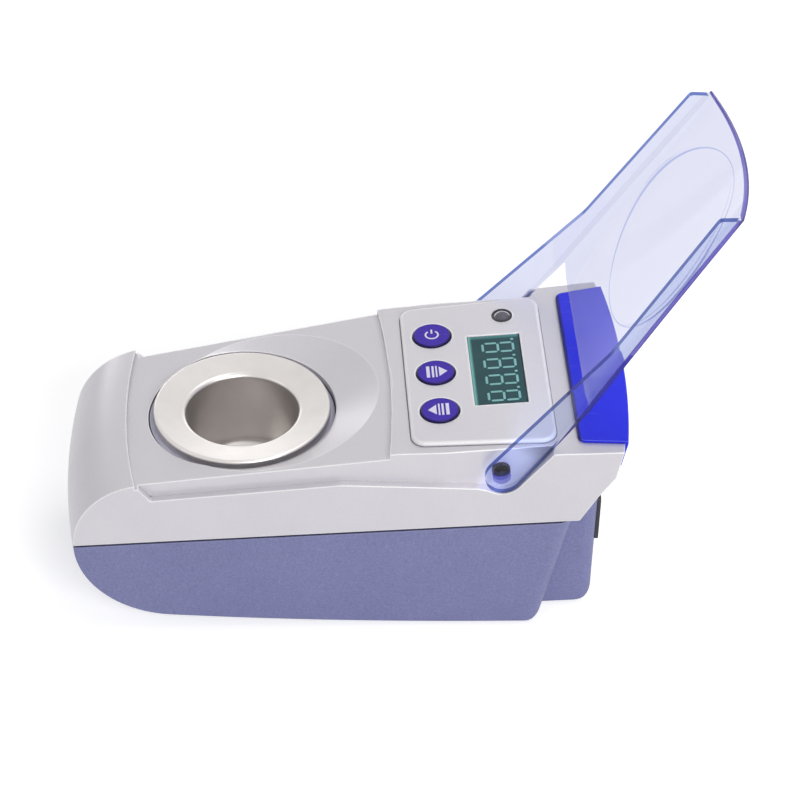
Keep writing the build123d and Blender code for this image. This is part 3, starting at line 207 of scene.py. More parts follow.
def buildEdges(settings):
    # rounds the look of sharp edges and finds them, for painted highlight lines along outer edges and
    # painted shade in creases and gaps
    group, given = newGroup("edgeHighlightAndCreaseShade", [
        ("Width", floatSocket, 0.0004),
        ("Reach", floatSocket, 0.12),
        ("Crease Reach", floatSocket, 0.0012),
    ], [("Mask", floatSocket), ("Crease Shade", floatSocket), ("Normal", vectorSocket)])
    rounded = addNode(group, "ShaderNodeBevel", {
        "Radius": given["Width"],
    }, samples=settings["bevelSamples"]).outputs[0]
    facing = addNode(group, "ShaderNodeNewGeometry").outputs["Normal"]
    likeness = vectorCalc(group, "DOT_PRODUCT", {0: rounded, 1: facing})["Value"]
    turned = calc(group, "DIVIDE", calc(group, "SUBTRACT", 1.0, likeness), given["Reach"], clamp=True)
    openness = addNode(group, "ShaderNodeAmbientOcclusion", {
        "Distance": given["Crease Reach"],
    }, samples=settings["openSamples"]).outputs["AO"]
    addNode(group, "NodeGroupOutput", {
        "Mask": calc(group, "MULTIPLY", turned, remap(group, openness, *settings["outerCut"])),
        "Crease Shade": remap(group, openness, *settings["creaseCut"]),
        "Normal": rounded,
    })
    return group


def fromAxis(tree, place, centre):
    # the place counted from a centre, and its distance from the upright axis there
    off = vectorCalc(tree, "SUBTRACT", {0: place, 1: centre})[0]
    flat = vectorCalc(tree, "MULTIPLY", {0: off, 1: (1, 1, 0)})[0]
    return off, vectorCalc(tree, "LENGTH", {0: flat})["Value"]


def buildRing():
    # mask of a band round an upright axis; In and Out are its radii
    group, given = newGroup("bandRound", [
        ("Centre", vectorSocket, (0, 0, 0)),
        ("In", floatSocket, 0.0055),
        ("Out", floatSocket, 0.0061),
        ("Soft", floatSocket, 0.00012),
    ], [("Mask", floatSocket)])
    _, far = fromAxis(group, objectPlace(group), given["Centre"])
    pastIn = calc(group, "DIVIDE", calc(group, "SUBTRACT", far, given["In"]), given["Soft"], clamp=True)
    withinOut = calc(group, "DIVIDE", calc(group, "SUBTRACT", given["Out"], far), given["Soft"], clamp=True)
    addNode(group, "NodeGroupOutput", {"Mask": calc(group, "MULTIPLY", pastIn, withinOut)})
    return group


turnedSettings = {
    "ringDetail": 3.0,
    "cloudScale": 180.0,
    "cloudDetail": 4.0,
}


def buildTurned(settings):
    # fine rings left by turning or polishing round an upright axis
    group, given = newGroup("turnedMarks", [
        ("Centre", vectorSocket, (0, 0, 0)),
        ("Pitch", floatSocket, 3000.0),
    ], [("Height", floatSocket), ("Tone", floatSocket)])
    place = objectPlace(group)
    off, far = fromAxis(group, place, given["Centre"])
    height = addNode(group, "ShaderNodeSeparateXYZ", {0: off}).outputs["Z"]
    section = addNode(group, "ShaderNodeCombineXYZ", {0: far, 1: height}).outputs[0]
    addNode(group, "NodeGroupOutput", {
        "Height": noise(group, section, given["Pitch"], settings["ringDetail"], noise_dimensions="2D"),
        "Tone": noise(group, place, settings["cloudScale"], settings["cloudDetail"]),
    })
    return group


grainGroup = buildGrain(grainSettings)
edgeLightGroup = buildEdges(edgeSettings)
ringGroup = buildRing()
turnedGroup = buildTurned(turnedSettings)
print("stage: shared shader groups built")


def clearTree(owner):
    owner.use_nodes = True
    owner.node_tree.nodes.clear()
    return owner.node_tree


def addSurface(tree, values):
    shader = addNode(tree, "ShaderNodeBsdfPrincipled", values)
    addNode(tree, "ShaderNodeOutputMaterial", {"Surface": shader.outputs[0]})


grainDepth = 0.1         # mm, what a bump of full strength stands for
edgeDefaults = {"edgeReach": 0.12, "creaseReach": 1.2}


def grainMaterial(name, look):
    # look: colours, grain values, bump, other Principled sockets, and what is done to the edges, with the
    # painted highlight and shade along them
    look = {**edgeDefaults, **look}
    material = bpy.data.materials.new(name)
    tree = clearTree(material)
    grain = placeGroup(tree, grainGroup, {
        "Color": tint(*look["color"]), "Second": tint(*look["second"]), **look["grain"],
    })
    color = grain["Color"]
    relief = {"Strength": look["bump"], "Distance": grainDepth * mm, "Height": grain["Height"]}
    if "edge" in look:
        edge = placeGroup(tree, edgeLightGroup, {
            "Width": look["edge"] * mm, "Reach": look["edgeReach"], "Crease Reach": look["creaseReach"] * mm,
        })
        relief["Normal"] = edge["Normal"]
        # painted highlight along outer edges and painted shade in creases, laid over the base colour
        for mask, part in (("Mask", "edge"), ("Crease Shade", "crease")):
            if part + "Share" in look:
                share = calc(tree, "MULTIPLY", edge[mask], look[part + "Share"])
                color = blend(tree, share, color, tint(*look[part + "Color"]))
    addSurface(tree, {
        "Base Color": color, "Roughness": grain["Roughness"],
        "Normal": addNode(tree, "ShaderNodeBump", relief).outputs[0], **look.get("sockets", {}),
    })
    return material


def overlay(material, mask, color):
    # lays a colour over what feeds the base colour, where the mask is 1
    tree = material.node_tree
    target = tree.nodes["Principled BSDF"].inputs["Base Color"]
    tree.links.new(blend(tree, mask, target.links[0].from_socket, tint(*color)), target)


def paintBand(material, centre, band, color):
    # band: inner radius, outer radius and softness, in mm
    inner, outer, soft = (size * mm for size in band)
    values = {"Centre": centre, "In": inner, "Out": outer, "Soft": soft}
    overlay(material, placeGroup(material.node_tree, ringGroup, values)["Mask"], color)


def dress(material, *names):
    for name in names:
        for slot in nodes[name].material_slots:
            slot.material = material


shellLook = {
    # the edge colour is a painted highlight along outer edges, the crease colour a painted shade in creases
    # and gaps
    "silver": {
        "color": (214, 211, 216), "second": (207, 204, 211),
        "grain": {"Mottle": 0.6, "Mottle Size": 45.0, "Speckle": 0.02, "Scuffs": 0.05, "Roughness": 0.34},
        "bump": 0.03, "edge": 0.55, "edgeReach": 0.045, "edgeShare": 0.95, "edgeColor": (255, 255, 255),
        "creaseReach": 1.0, "creaseShare": 0.75, "creaseColor": (120, 118, 128),
        "sockets": {"Metallic": 0.35, "Specular IOR Level": 0.5},
    },
    "lavender": {
        "color": (124, 127, 171), "second": (131, 133, 177),
        "grain": {"Mottle": 0.7, "Mottle Size": 60.0, "Speckle": 0.13, "Speckle Size": 1900.0,
                  "Scuffs": 0.04, "Roughness": 0.5},
        "bump": 0.16, "edge": 0.5, "edgeReach": 0.1, "edgeShare": 0.5, "edgeColor": (176, 178, 214),
        "creaseReach": 1.2, "creaseShare": 0.9, "creaseColor": (38, 38, 70),
        "sockets": {"Specular IOR Level": 0.4},
    },
}
dress(grainMaterial("silverShell", shellLook["silver"]), "upper_housing")
dress(grainMaterial("lavenderShell", shellLook["lavender"]), "lower_housing")

trimLook = {
    # the edge colour is a painted highlight; the crease colour and the front colour are painted shade
    "color": (34, 42, 228), "second": (42, 52, 234),
    "grain": {"Mottle": 0.5, "Mottle Size": 50.0, "Speckle": 0.03, "Scuffs": 0.04, "Roughness": 0.22,
              "Roughness Spread": 0.05},
    "bump": 0.02, "edge": 0.4, "edgeReach": 0.06, "edgeShare": 0.6, "edgeColor": (130, 140, 255),
    "creaseReach": 1.4, "creaseShare": 0.85, "creaseColor": (16, 16, 90),
    "sockets": {"Specular IOR Level": 0.25},
    "frontShadeBand": (47.75, 47.45),     # x in mm from which the painted shade on the front end sets in, and is full
    "frontShadeColor": (20, 20, 118),
}


def makeTrimMaterial(look):
    material = grainMaterial("royalBlueTrim", look)
    tree = material.node_tree
    along = addNode(tree, "ShaderNodeSeparateXYZ", {0: objectPlace(tree)}).outputs[0]
    # painted shade over the trim's front end, where it meets the silver
    overlay(material, remap(tree, along, *(x * mm for x in look["frontShadeBand"])), look["frontShadeColor"])
    return material


dress(makeTrimMaterial(trimLook), "rear_trim")

panelTop = {
    "middle": Vector((21.890, 0.0, 62.786)) * mm,   # panel centre on the hump's surface
    "along": Vector((0.999456, 0.0, 0.032982)),
    "across": Vector((0.0, 1.0, 0.0)),
    "up": Vector((-0.032982, 0.0, 0.999456)),
    # in mm along, across or above the panel
    "buttonRow": -11.1,
    "buttonPlaces": {"button_mode": 16.7, "button_up": 0.0, "button_down": -16.7},
    "buttonTop": 1.7,
    "displayRow": 5.9,
    "displayTop": 0.9,
    "lampPlace": (9.1, 23.9),
}
panelLook = {
    # the edge colour is a painted highlight along outer edges, the crease colour a painted shade in creases
    "color": (224, 221, 226), "second": (218, 215, 222),
    "grain": {"Mottle": 0.6, "Mottle Size": 50.0, "Speckle": 0.02, "Scuffs": 0.03, "Roughness": 0.34},
    "bump": 0.03, "edge": 0.9, "edgeReach": 0.02, "edgeShare": 0.95, "edgeColor": (255, 255, 255),
    "creaseReach": 1.0, "creaseShare": 0.9, "creaseColor": (110, 108, 118),
    "sockets": {"Metallic": 0.2},
    "paintedRingHighlight": (250, 250, 253),                        # painted highlight: light rings round the buttons and the lamp
    "buttonHighlightRing": (5.4, 6.1, 0.18),
    "lampHighlightRing": (2.8, 3.4, 0.15),
}


def onPanel(along, across, up=0.0):
    # mm along, across and above the panel, turned into a place in the scene
    step = panelTop["along"] * along + panelTop["across"] * across + panelTop["up"] * up
    return panelTop["middle"] + step * mm


def makePanelMaterial(look):
    material = grainMaterial("panelGrey", look)
    # painted highlight round each button's hole and round the lamp
    for across in panelTop["buttonPlaces"].values():
        paintBand(material, onPanel(panelTop["buttonRow"], across), look["buttonHighlightRing"], look["paintedRingHighlight"])
    paintBand(material, onPanel(*panelTop["lampPlace"]), look["lampHighlightRing"], look["paintedRingHighlight"])
    return material


dress(makePanelMaterial(panelLook), "control_panel")
print("stage: shells, trim and panel dressed")

potLook = {
    "color": (216, 212, 210), "second": (209, 205, 203), "toneCut": (0.25, 0.75),
    "roughness": 0.34, "roughnessSpread": 0.03,
    "axis": (-42.91, 0.0, 0.0), "pitch": 2600.0,
    "bump": 0.01, "edge": 0.35, "edgeReach": 0.12,
}


def makePotMaterial(look):
    material = bpy.data.materials.new("polishedPot")
    tree = clearTree(material)
    turned = placeGroup(tree, turnedGroup, {"Centre": Vector(look["axis"]) * mm, "Pitch": look["pitch"]})
    edge = placeGroup(tree, edgeLightGroup, {"Width": look["edge"] * mm, "Reach": look["edgeReach"]})
    rough, spread = look["roughness"], look["roughnessSpread"]
    addSurface(tree, {
        "Metallic": 1.0,
        "Base Color": blend(tree, remap(tree, turned["Tone"], *look["toneCut"]), tint(*look["color"]),
                            tint(*look["second"])),
        "Roughness": remap(tree, turned["Tone"], 0.0, 1.0, rough - spread, rough + spread),
        "Normal": addNode(tree, "ShaderNodeBump", {
            "Strength": look["bump"], "Distance": grainDepth * mm, "Height": turned["Height"],
            "Normal": edge["Normal"],
        }).outputs[0],
    })
    return material


dress(makePotMaterial(potLook), "wax_pot")

plainEdge = 0.15         # mm
plainGrain = {"Mottle": 0.8, "Mottle Size": 160.0, "Scuffs": 0.08}
plainLooks = {
    # name: colour, second colour, roughness, metallic, speckle, bump, nodes that wear it
    "blackPlastic": ((34, 34, 36), (44, 44, 47), 0.48, 0.0, 0.15, 0.15,
                     ("lcd_module", "tact_switches", "board_parts", "buzzer", "switch_case", "power_inlet")),
    "rockerBlack": ((26, 26, 28), (36, 36, 38), 0.34, 0.0, 0.1, 0.08, ("switch_rocker",)),
    "collarSilicone": ((186, 186, 204), (176, 176, 196), 0.55, 0.0, 0.1, 0.2, ("insulating_collar",)),
    "boardGreen": ((22, 92, 58), (30, 112, 70), 0.35, 0.0, 0.2, 0.2, ("main_board", "power_board")),
    "screwSteel": ((178, 178, 180), (150, 150, 154), 0.3, 1.0, 0.05, 0.1,
                   ("board_screws", "strap_screw", "case_screws")),
    "shieldSteel": ((190, 189, 187), (168, 167, 166), 0.32, 1.0, 0.05, 0.15,
                    ("heat_shield", "heater_strap", "temperature_sensor")),
    "micaBand": ((150, 118, 74), (184, 156, 112), 0.5, 0.2, 0.35, 0.3, ("band_heater",)),
    "sleeveFibre": ((226, 222, 212), (206, 200, 188), 0.85, 0.0, 0.25, 0.9, ("insulation_sleeve",)),
    "fuseWhite": ((232, 230, 224), (220, 217, 210), 0.45, 0.0, 0.05, 0.1, ("thermal_fuse",)),
    "transformerYellow": ((222, 178, 40), (196, 150, 32), 0.4, 0.0, 0.15, 0.2, ("transformer",)),
    "relayBlue": ((34, 88, 178), (42, 100, 190), 0.35, 0.0, 0.05, 0.08, ("relay",)),
    "terminalGreen": ((38, 140, 70), (46, 156, 82), 0.42, 0.0, 0.08, 0.1, ("terminal_block",)),
    "capacitorBlack": ((28, 28, 40), (44, 44, 58), 0.3, 0.0, 0.05, 0.06, ("capacitors",)),
    "fuseGlass": ((206, 214, 214), (188, 198, 200), 0.12, 0.0, 0.02, 0.02, ("line_fuse",)),
    "footRubber": ((42, 42, 44), (56, 56, 58), 0.8, 0.0, 0.3, 0.5, ("rubber_feet",)),
}
for name, (color, second, rough, metal, speckle, bump, wornBy) in plainLooks.items():
    dress(grainMaterial(name, {
        "color": color, "second": second, "bump": bump, "edge": plainEdge,
        "grain": {**plainGrain, "Roughness": rough, "Speckle": speckle},
        "sockets": {"Metallic": metal},
    }), *wornBy)
print("stage: pot, boards and inner pieces dressed")

buttonLook = {
    "color": (66, 40, 178), "second": (58, 34, 166),
    "grain": {"Mottle": 0.6, "Mottle Size": 120.0, "Speckle": 0.05, "Scuffs": 0.03, "Roughness": 0.42},
    "bump": 0.04, "sockets": {"Specular IOR Level": 0.22},
    "rim": (4.7, 20.0, 0.35),        # painted shade: a dark band, from within the edge to well outside it
    "rimColor": (34, 20, 84),
}
for name, across in panelTop["buttonPlaces"].items():
    buttonBlue = grainMaterial(name + "Blue", buttonLook)
    top = onPanel(panelTop["buttonRow"], across, panelTop["buttonTop"])
    # painted shade round the button's edge
    paintBand(buttonBlue, top, buttonLook["rim"], buttonLook["rimColor"])
    dress(buttonBlue, name)

iconLook = {
    "color": (236, 232, 250), "second": (226, 222, 244), "bump": 0.04,
    "grain": {"Roughness": 0.4, "Speckle": 0.03, "Mottle": 0.5, "Mottle Size": 300.0, "Scuffs": 0.0},
    "thick": 0.05,
    "arrow": [(0.9, -2.1), (3.2, 0.0), (0.9, 2.1)],
    "bars": [(-2.57, -1.66), (-1.10, -0.50), (-0.05, 0.40)],
    "barHalf": 2.45,
    "ringRadius": 1.75, "ringWide": 0.5, "ringOpen": 0.62, "ringSteps": 28,
    "stem": (0.55, 2.35),            # the short bar in the ring's opening
}


def plateMesh(name, outlines, origin, thick):
    # flat plates with straight sides; outlines in mm on the panel, counted from origin
    mesh = bpy.data.meshes.new(name)
    form = bmesh.new()
    along, across, up = origin
    for outline in outlines:
        low = [form.verts.new(onPanel(along + u, across + v, up)) for u, v in outline]
        top = [form.verts.new(onPanel(along + u, across + v, up + thick)) for u, v in outline]
        form.faces.new(top)
        form.faces.new(low[::-1])
        for i in range(len(outline)):
            j = (i + 1) % len(outline)
            form.faces.new((low[i], low[j], top[j], top[i]))
    bmesh.ops.recalc_face_normals(form, faces=form.faces)
    form.to_mesh(mesh)
    form.free()
    return addObject(name, mesh)


def rectangle(u0, u1, v0, v1):
    return [(u0, v0), (u1, v0), (u1, v1), (u0, v1)]


def openRing(look):
    # outlines of a ring left open on its far side, and of the stem that stands in the opening
    half = look["ringWide"] / 2
    inner = look["ringRadius"] - half
    outer = look["ringRadius"] + half
    start = pi / 2 + look["ringOpen"]
    turn = 2 * pi - 2 * look["ringOpen"]
    angles = [start + turn * i / look["ringSteps"] for i in range(look["ringSteps"] + 1)]
    outside = [(outer * cos(a), outer * sin(a)) for a in angles]
    inside = [(inner * cos(a), inner * sin(a)) for a in angles]
    return [outside + inside[::-1], rectangle(-half, half, *look["stem"])]


def barsAndArrow(look):
    bars = [rectangle(start, end, -look["barHalf"], look["barHalf"]) for start, end in look["bars"]]
    return bars + [look["arrow"]]


icons = {
    "button_up": barsAndArrow(iconLook),
    "button_down": [[(-u, v) for u, v in outline] for outline in barsAndArrow(iconLook)],
    "button_mode": openRing(iconLook),
}
iconWhite = grainMaterial("iconWhite", iconLook)
for body, outlines in icons.items():
    origin = (panelTop["buttonRow"], panelTop["buttonPlaces"][body], panelTop["buttonTop"])
    icon = plateMesh(body + "_icon", outlines, origin, iconLook["thick"])
    icon.data.materials.append(iconWhite)
    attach(icon, body)
print("stage: buttons and their marks made")

displayLook = {
    "color": (54, 88, 92), "second": (48, 80, 86), "bump": 0.02,
    "grain": {"Roughness": 0.16, "Speckle": 0.03, "Mottle": 0.8, "Mottle Size": 90.0, "Scuffs": 0.02,
              "Roughness Spread": 0.04},
    "sockets": {"Specular IOR Level": 0.12},
    "half": {"along": 7.175, "across": 15.35},
    "stripsAndShadeBands": [
        # axis, which end of it, width and softness in mm, colour; the two dark bands are painted shade along
        # the window's edges
        ("across", 1, 1.3, 0.5, (88, 150, 150)),
        ("across", -1, 0.25, 0.3, (44, 66, 80)),
        ("along", 1, 0.3, 0.3, (44, 66, 80)),
        ("along", -1, 0.95, 0.3, (126, 196, 190)),
    ],
}


def edgeBand(tree, look, axis, end, wide, soft):
    # 1 along one edge of the window, fading out inwards
    middle = onPanel(panelTop["displayRow"], 0.0)
    off = vectorCalc(tree, "SUBTRACT", {0: objectPlace(tree), 1: middle})[0]
    along = vectorCalc(tree, "DOT_PRODUCT", {0: off, 1: panelTop[axis]})["Value"]
    edge = end * look["half"][axis]
    inside = edge - end * (wide + soft)
    return remap(tree, along, edge * mm, inside * mm, 1.0, 0.0, interpolation_type="SMOOTHERSTEP")


def makeDisplayMaterial(look):
    material = grainMaterial("displayGlass", look)
    # painted shade along two of the window's edges, and lighter strips along the other two
    for axis, end, wide, soft, color in look["stripsAndShadeBands"]:
        overlay(material, edgeBand(material.node_tree, look, axis, end, wide, soft), color)
    return material


dress(makeDisplayMaterial(displayLook), "lcd_window")

digitLook = {
    "color": (134, 196, 194), "second": (120, 182, 180), "bump": 0.02,
    "grain": {"Roughness": 0.3, "Speckle": 0.03, "Mottle": 0.6, "Mottle Size": 300.0, "Scuffs": 0.0},
    "rows": [10.05, 2.83, -4.39, -11.6],       # places of the four digits across the panel
    "middle": 0.95, "length": 8.45,            # of a digit along the panel
    "width": 3.82,
    "barLong": 0.72, "barAcross": 0.66,        # thickness of the bars that run along and across
    "gap": 0.22,
    "dot": (5.1, 3.33), "dotHalf": 0.42, "dotFlat": 0.45,    # place, half size, straight share of a side
    "thick": 0.03,
}


def digitOutlines(look, row):
    # the seven pointed bars of a digit, and its dot
    start = look["middle"] - look["length"] / 2
    half = look["length"] / 2
    outlines = []
    reach = half - look["barAcross"] / 2 - 2 * look["gap"]
    tip = look["barLong"] / 2
    for i in (0, 1):
        u = start + i * half + look["barAcross"] / 2 + look["gap"]
        for side in (1, -1):
            v = row + side * look["width"] / 2
            outlines.append([(u, v), (u + tip, v - tip), (u + reach - tip, v - tip), (u + reach, v),
                             (u + reach - tip, v + tip), (u + tip, v + tip)])
    reach = look["width"] / 2 - look["gap"]
    tip = look["barAcross"] / 2
    for i in (0, 1, 2):
        u = start + i * half
        outlines.append([(u, row - reach), (u + tip, row - reach + tip), (u + tip, row + reach - tip),
                         (u, row + reach), (u - tip, row + reach - tip), (u - tip, row - reach + tip)])
    u, v = look["dot"]
    wide = look["dotHalf"]
    flat = wide * look["dotFlat"]
    corners = ((-flat, -wide), (flat, -wide), (wide, -flat), (wide, flat),
               (flat, wide), (-flat, wide), (-wide, flat), (-wide, -flat))
    outlines.append([(u + a, row + v + b) for a, b in corners])
    return outlines


outlines = [outline for row in digitLook["rows"] for outline in digitOutlines(digitLook, row)]
origin = (panelTop["displayRow"], 0.0, panelTop["displayTop"])
digits = plateMesh("display_digits", outlines, origin, digitLook["thick"])
digits.data.materials.append(grainMaterial("digitTeal", digitLook))
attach(digits, "housing")

bezelLook = {
    "color": (40, 36, 44), "second": (50, 46, 54), "bump": 0.03, "edge": 0.15,
    "grain": {"Roughness": 0.3, "Speckle": 0.05, "Mottle": 0.5, "Scuffs": 0.0},
}
dress(grainMaterial("lampRingBlack", bezelLook), "indicator_bezel")

lensLook = {
    "color": (104, 102, 110), "second": (96, 94, 102), "bump": 0.02,
    "grain": {"Roughness": 0.2, "Speckle": 0.04, "Mottle": 0.6, "Mottle Size": 300.0, "Scuffs": 0.0},
    "sockets": {"Specular IOR Level": 0.2},
    "paintedGlint": (2.1, 10.0, 0.2),    # painted highlight: a light band round a centre that lies off the lens's own
    "paintedGlintShift": 1.3,
    "paintedGlintColor": (226, 226, 232),
}
lampLens = grainMaterial("lampLens", lensLook)
lampAlong, lampAcross = panelTop["lampPlace"]
# painted highlight on the lens
paintedGlintCentre = onPanel(lampAlong, lampAcross - lensLook["paintedGlintShift"])
paintBand(lampLens, paintedGlintCentre, lensLook["paintedGlint"], lensLook["paintedGlintColor"])
dress(lampLens, "indicator_lens")
print("stage: display and lamp made")

lidLook = {
    "sheet": (214, 216, 233), "second": (210, 212, 229), "mottleScale": 35.0, "mottleDetail": 3.0,
    # the edge and rim colours are painted shade along the lid's edges, the skirt colour a painted light on
    # its outer walls, mostly on the near side
    "paintedLightSkirt": (214, 226, 252), "line": (140, 150, 205), "rim": (34, 54, 140), "edge": (46, 38, 138),
    "stud": (112, 116, 205), "shadow": (226, 228, 246),
    "bend": 1.02, "coat": 0.7, "coatRoughness": 0.03, "bump": 0.02, "bumpDepth": 0.2,
    "speckScale": 900.0, "speckDetail": 3.0, "speckCut": (0.55, 0.8), "roughness": (0.02, 0.10),
    "openAngle": 131.0,      # degrees
    "pivot": (26.09, 0.0, 55.95),            # mm in the frame
    # the form of the shut lid in mm, with x counted from shift mm nearer to the pot's end
    "shift": 15.51016,
    "front": (-61.1, 56.312, 105.0), "rear": (15.3, 63.413, 266.0),   # x, crown height, crown radius
    "noseAxis": 134.0, "rimRadius": 192.9,   # centre and radius of the arc of the front edge
    "sideHalf": 33.83, "sideTaper": 0.0627,  # half width at x 0, and its growth with x
    "disc": (-27.4, 26.6),                   # middle and radius of the flatter disc over the pot
    # how far the tints reach, in mm
    "edgeBand": 1.3, "edgeSoft": 0.25,       # painted shade: a dark line down the outer edge
    "rimBand": 0.75, "rimSoft": 0.2,         # and in over the sheet's faces
    "farShare": 0.15,                        # share of the painted tints that the side with positive Y has
    "wallBand": 0.08,
    "lineHalf": 0.16, "lineDepth": 0.8,
    "studRadius": 2.5, "studReach": 6.5,
    "rimDepth": 1.4, "downFacing": -0.7, "frontFacing": -0.45,        # painted shade on the free edges under the sheet
}


def lidMasks(tree, look):
    # the lid is drawn open, so its places and normals are turned shut to find its edges
    source = addNode(tree, "ShaderNodeTexCoord").outputs
    angle = radians(-look["openAngle"])
    pivot = Vector(look["pivot"])
    shut = pivot - Matrix.Rotation(angle, 3, "Y") @ pivot + Vector((look["shift"], 0.0, 0.0))
    place = addNode(tree, "ShaderNodeMapping", {
        "Vector": source["Object"], "Rotation": (0.0, angle, 0.0), "Scale": (1 / mm, 1 / mm, 1 / mm),
        "Location": shut,
    }, vector_type="POINT").outputs[0]
    normal = addNode(tree, "ShaderNodeMapping", {
        "Vector": source["Normal"], "Rotation": (0.0, angle, 0.0),
    }, vector_type="VECTOR").outputs[0]
    x, y, z = addNode(tree, "ShaderNodeSeparateXYZ", {0: place}).outputs
    facing = addNode(tree, "ShaderNodeSeparateXYZ", {0: normal}).outputs

    op = partial(calc, tree)

    # depth under the domed outer face, which runs from the front crown to the rear one
    frontX, frontTop, frontCrown = look["front"]
    rearX, rearTop, rearCrown = look["rear"]
    square = op("MULTIPLY", y, y)
    frontDome = op("MULTIPLY_ADD", square, -0.5 / frontCrown, frontTop)
    rearDome = op("MULTIPLY_ADD", square, -0.5 / rearCrown, rearTop)
    share = op("DIVIDE", op("SUBTRACT", x, frontX), rearX - frontX)
    dome = op("ADD", frontDome, op("MULTIPLY", share, op("SUBTRACT", rearDome, frontDome)))
    depth = op("SUBTRACT", dome, z)
    buried = op("DIVIDE", op("SUBTRACT", depth, look["edgeBand"]), look["edgeSoft"], clamp=True)
    near = op("SUBTRACT", 1.0, buried)

    # the outer edge, for painted shade: both sides and the arc of the front
    side = op("SUBTRACT", op("ABSOLUTE", y), op("MULTIPLY_ADD", x, look["sideTaper"], look["sideHalf"]))
    bySide = op("DIVIDE", op("ADD", side, look["rimBand"]), look["rimSoft"], clamp=True)
    ahead = op("SUBTRACT", look["noseAxis"], x)
    radius = op("SQRT", op("MULTIPLY_ADD", ahead, ahead, square))
    byRim = op("SUBTRACT", radius, look["rimRadius"] - look["rimBand"])
    onRim = op("DIVIDE", byRim, look["rimSoft"], clamp=True)
    sideShare = op("MULTIPLY_ADD", op("LESS_THAN", y, 0.0), 1.0 - look["farShare"], look["farShare"])
    onEdge = op("MAXIMUM", op("MULTIPLY", bySide, sideShare), onRim)

    # the stud at the pivot, and the circle round the disc
    studX = op("SUBTRACT", x, look["pivot"][0] + look["shift"])
    studZ = op("SUBTRACT", z, look["pivot"][2])
    fromStud = op("SQRT", op("ADD", op("MULTIPLY", studX, studX), op("MULTIPLY", studZ, studZ)))
    onStud = op("LESS_THAN", fromStud, look["studRadius"])
    discMiddle, discRadius = look["disc"]
    discX = op("SUBTRACT", x, discMiddle)
    fromCircle = op("SUBTRACT", op("SQRT", op("MULTIPLY_ADD", discX, discX, square)), discRadius)
    onCircle = op("LESS_THAN", op("ABSOLUTE", fromCircle), look["lineHalf"])

    # outer walls of the skirts and arms, for painted light, and their free edges, for painted shade
    onWall = op("MULTIPLY", op("GREATER_THAN", side, -look["wallBand"]), sideShare)
    down = op("LESS_THAN", facing["Z"], look["downFacing"])
    forward = op("LESS_THAN", facing["X"], look["frontFacing"])
    return {
        "paintedLightSkirt": op("MULTIPLY", onWall, op("SUBTRACT", 1.0, near)),
        "line": op("MULTIPLY", onCircle, op("LESS_THAN", depth, look["lineDepth"])),
        "rim": op("MULTIPLY", op("MAXIMUM", down, forward), op("GREATER_THAN", depth, look["rimDepth"])),
        "edge": op("MULTIPLY", near, onEdge),
        "stud": op("MULTIPLY", onStud, op("GREATER_THAN", side, -look["studReach"])),
    }


def makeLidMaterial(look):
    material = bpy.data.materials.new("clearBlueLid")
    tree = clearTree(material)
    place = objectPlace(tree)
    mottle = noise(tree, place, look["mottleScale"], look["mottleDetail"])
    specks = noise(tree, place, look["speckScale"], look["speckDetail"])
    color = blend(tree, mottle, tint(*look["sheet"]), tint(*look["second"]))
    for name, mask in lidMasks(tree, look).items():
        color = blend(tree, mask, color, tint(*look[name]))
    clear = addNode(tree, "ShaderNodeBsdfPrincipled", {
        "Transmission Weight": 1.0, "IOR": look["bend"], "Metallic": 0.0,
        "Coat Weight": look["coat"], "Coat Roughness": look["coatRoughness"],
        "Base Color": color, "Roughness": remap(tree, specks, *look["speckCut"], *look["roughness"]),
        "Normal": addNode(tree, "ShaderNodeBump", {
            "Strength": look["bump"], "Distance": look["bumpDepth"] * mm, "Height": mottle,
        }).outputs[0],
    })
    # light falls through the lid onto what is behind it
    passing = addNode(tree, "ShaderNodeBsdfTransparent", {"Color": tint(*look["shadow"])})
    path = addNode(tree, "ShaderNodeLightPath")
    surface = addNode(tree, "ShaderNodeMixShader", {
        0: path.outputs["Is Shadow Ray"], 1: clear.outputs[0], 2: passing.outputs[0],
    })
    addNode(tree, "ShaderNodeOutputMaterial", {"Surface": surface.outputs[0]})
    return material


dress(makeLidMaterial(lidLook), "lid")
print("stage: lid dressed")

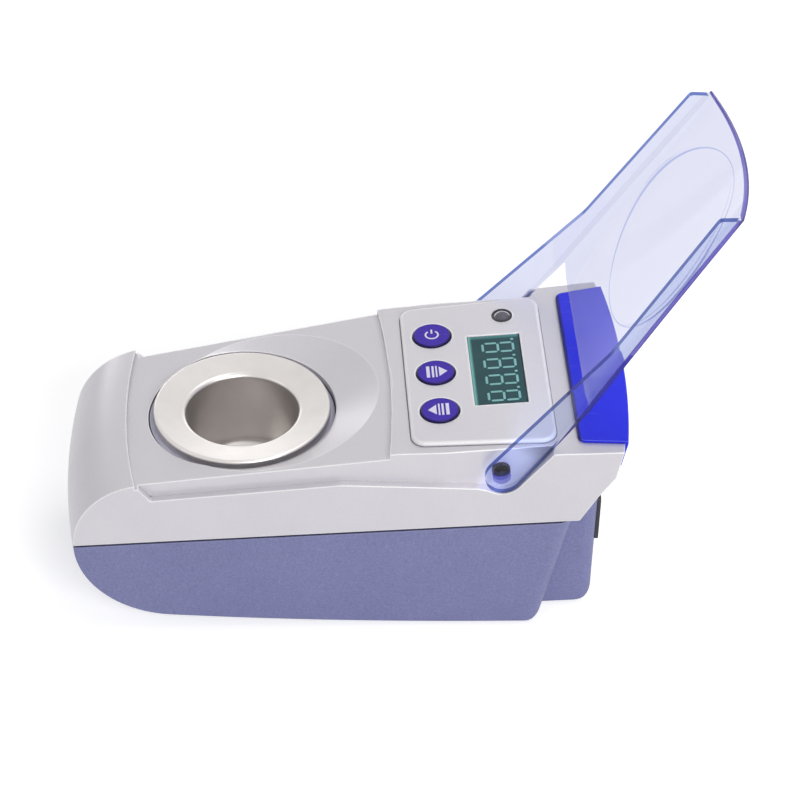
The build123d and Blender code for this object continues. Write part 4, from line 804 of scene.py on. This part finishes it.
stageSettings = {
    "floorHalf": 4.0,
    "floorColor": (0.80, 0.80, 0.81, 1),
    "floorGlow": 0.56,       # added to the lit floor for the rays that show it, so that it looks white
    "worldColor": (1.0, 1.0, 1.0, 1),
    "worldLight": 0.32,
    "worldShown": 1.0,
    "lamps": [
        # name, place, aim, width, height, watts
        ("topLamp", (0.45, 0.15, 1.25), (0.0, 0.0, 0.03), 0.90, 0.60, 3.0),
        ("leftLamp", (-1.20, -0.30, 0.75), (0.0, 0.0, 0.03), 0.60, 0.60, 0.5),
        ("frontLamp", (0.45, -1.25, 0.85), (0.0, 0.0, 0.03), 0.80, 0.50, 12.5),
        ("rearStrip", (0.0, 1.30, 0.30), (0.0, 0.0, 0.05), 1.80, 0.30, 3.2),
    ],
}


def shownRays(tree):
    # 1 for rays from the camera, from a mirror or through glass
    path = addNode(tree, "ShaderNodeLightPath").outputs
    direct = calc(tree, "MAXIMUM", path["Is Camera Ray"], path["Is Transmission Ray"])
    return calc(tree, "MAXIMUM", direct, path["Is Glossy Ray"])


def makeFloor(settings):
    half = settings["floorHalf"]
    mesh = bpy.data.meshes.new("floor")
    mesh.from_pydata(
        [(-half, -half, 0), (half, -half, 0), (half, half, 0), (-half, half, 0)], [], [(0, 1, 2, 3)]
    )
    floor = addObject("floor", mesh)
    material = bpy.data.materials.new("floorWhite")
    tree = clearTree(material)
    strength = calc(tree, "MULTIPLY", shownRays(tree), settings["floorGlow"])
    diffuse = addNode(tree, "ShaderNodeBsdfDiffuse", {"Color": settings["floorColor"]})
    glow = addNode(tree, "ShaderNodeEmission", {"Strength": strength})
    both = addNode(tree, "ShaderNodeAddShader", {0: diffuse.outputs[0], 1: glow.outputs[0]})
    addNode(tree, "ShaderNodeOutputMaterial", {"Surface": both.outputs[0]})
    floor.data.materials.append(material)


def makeWorld(settings):
    world = bpy.data.worlds.new("studio")
    bpy.context.scene.world = world
    tree = clearTree(world)
    strength = remap(tree, shownRays(tree), 0.0, 1.0, settings["worldLight"], settings["worldShown"])
    sky = addNode(tree, "ShaderNodeBackground", {"Color": settings["worldColor"], "Strength": strength})
    addNode(tree, "ShaderNodeOutputWorld", {"Surface": sky.outputs[0]})


def makeLamp(name, place, aim, width, height, watts):
    data = bpy.data.lights.new(name, "AREA")
    data.shape = "RECTANGLE"
    data.size = width
    data.size_y = height
    data.energy = watts
    lamp = addObject(name, data)
    lamp.location = place
    lamp.rotation_euler = (Vector(aim) - Vector(place)).to_track_quat("-Z", "Y").to_euler()


makeFloor(stageSettings)
makeWorld(stageSettings)
for lamp in stageSettings["lamps"]:
    makeLamp(*lamp)
bpy.context.scene.view_settings.view_transform = "Standard"
print("stage: floor, lamps and world made")
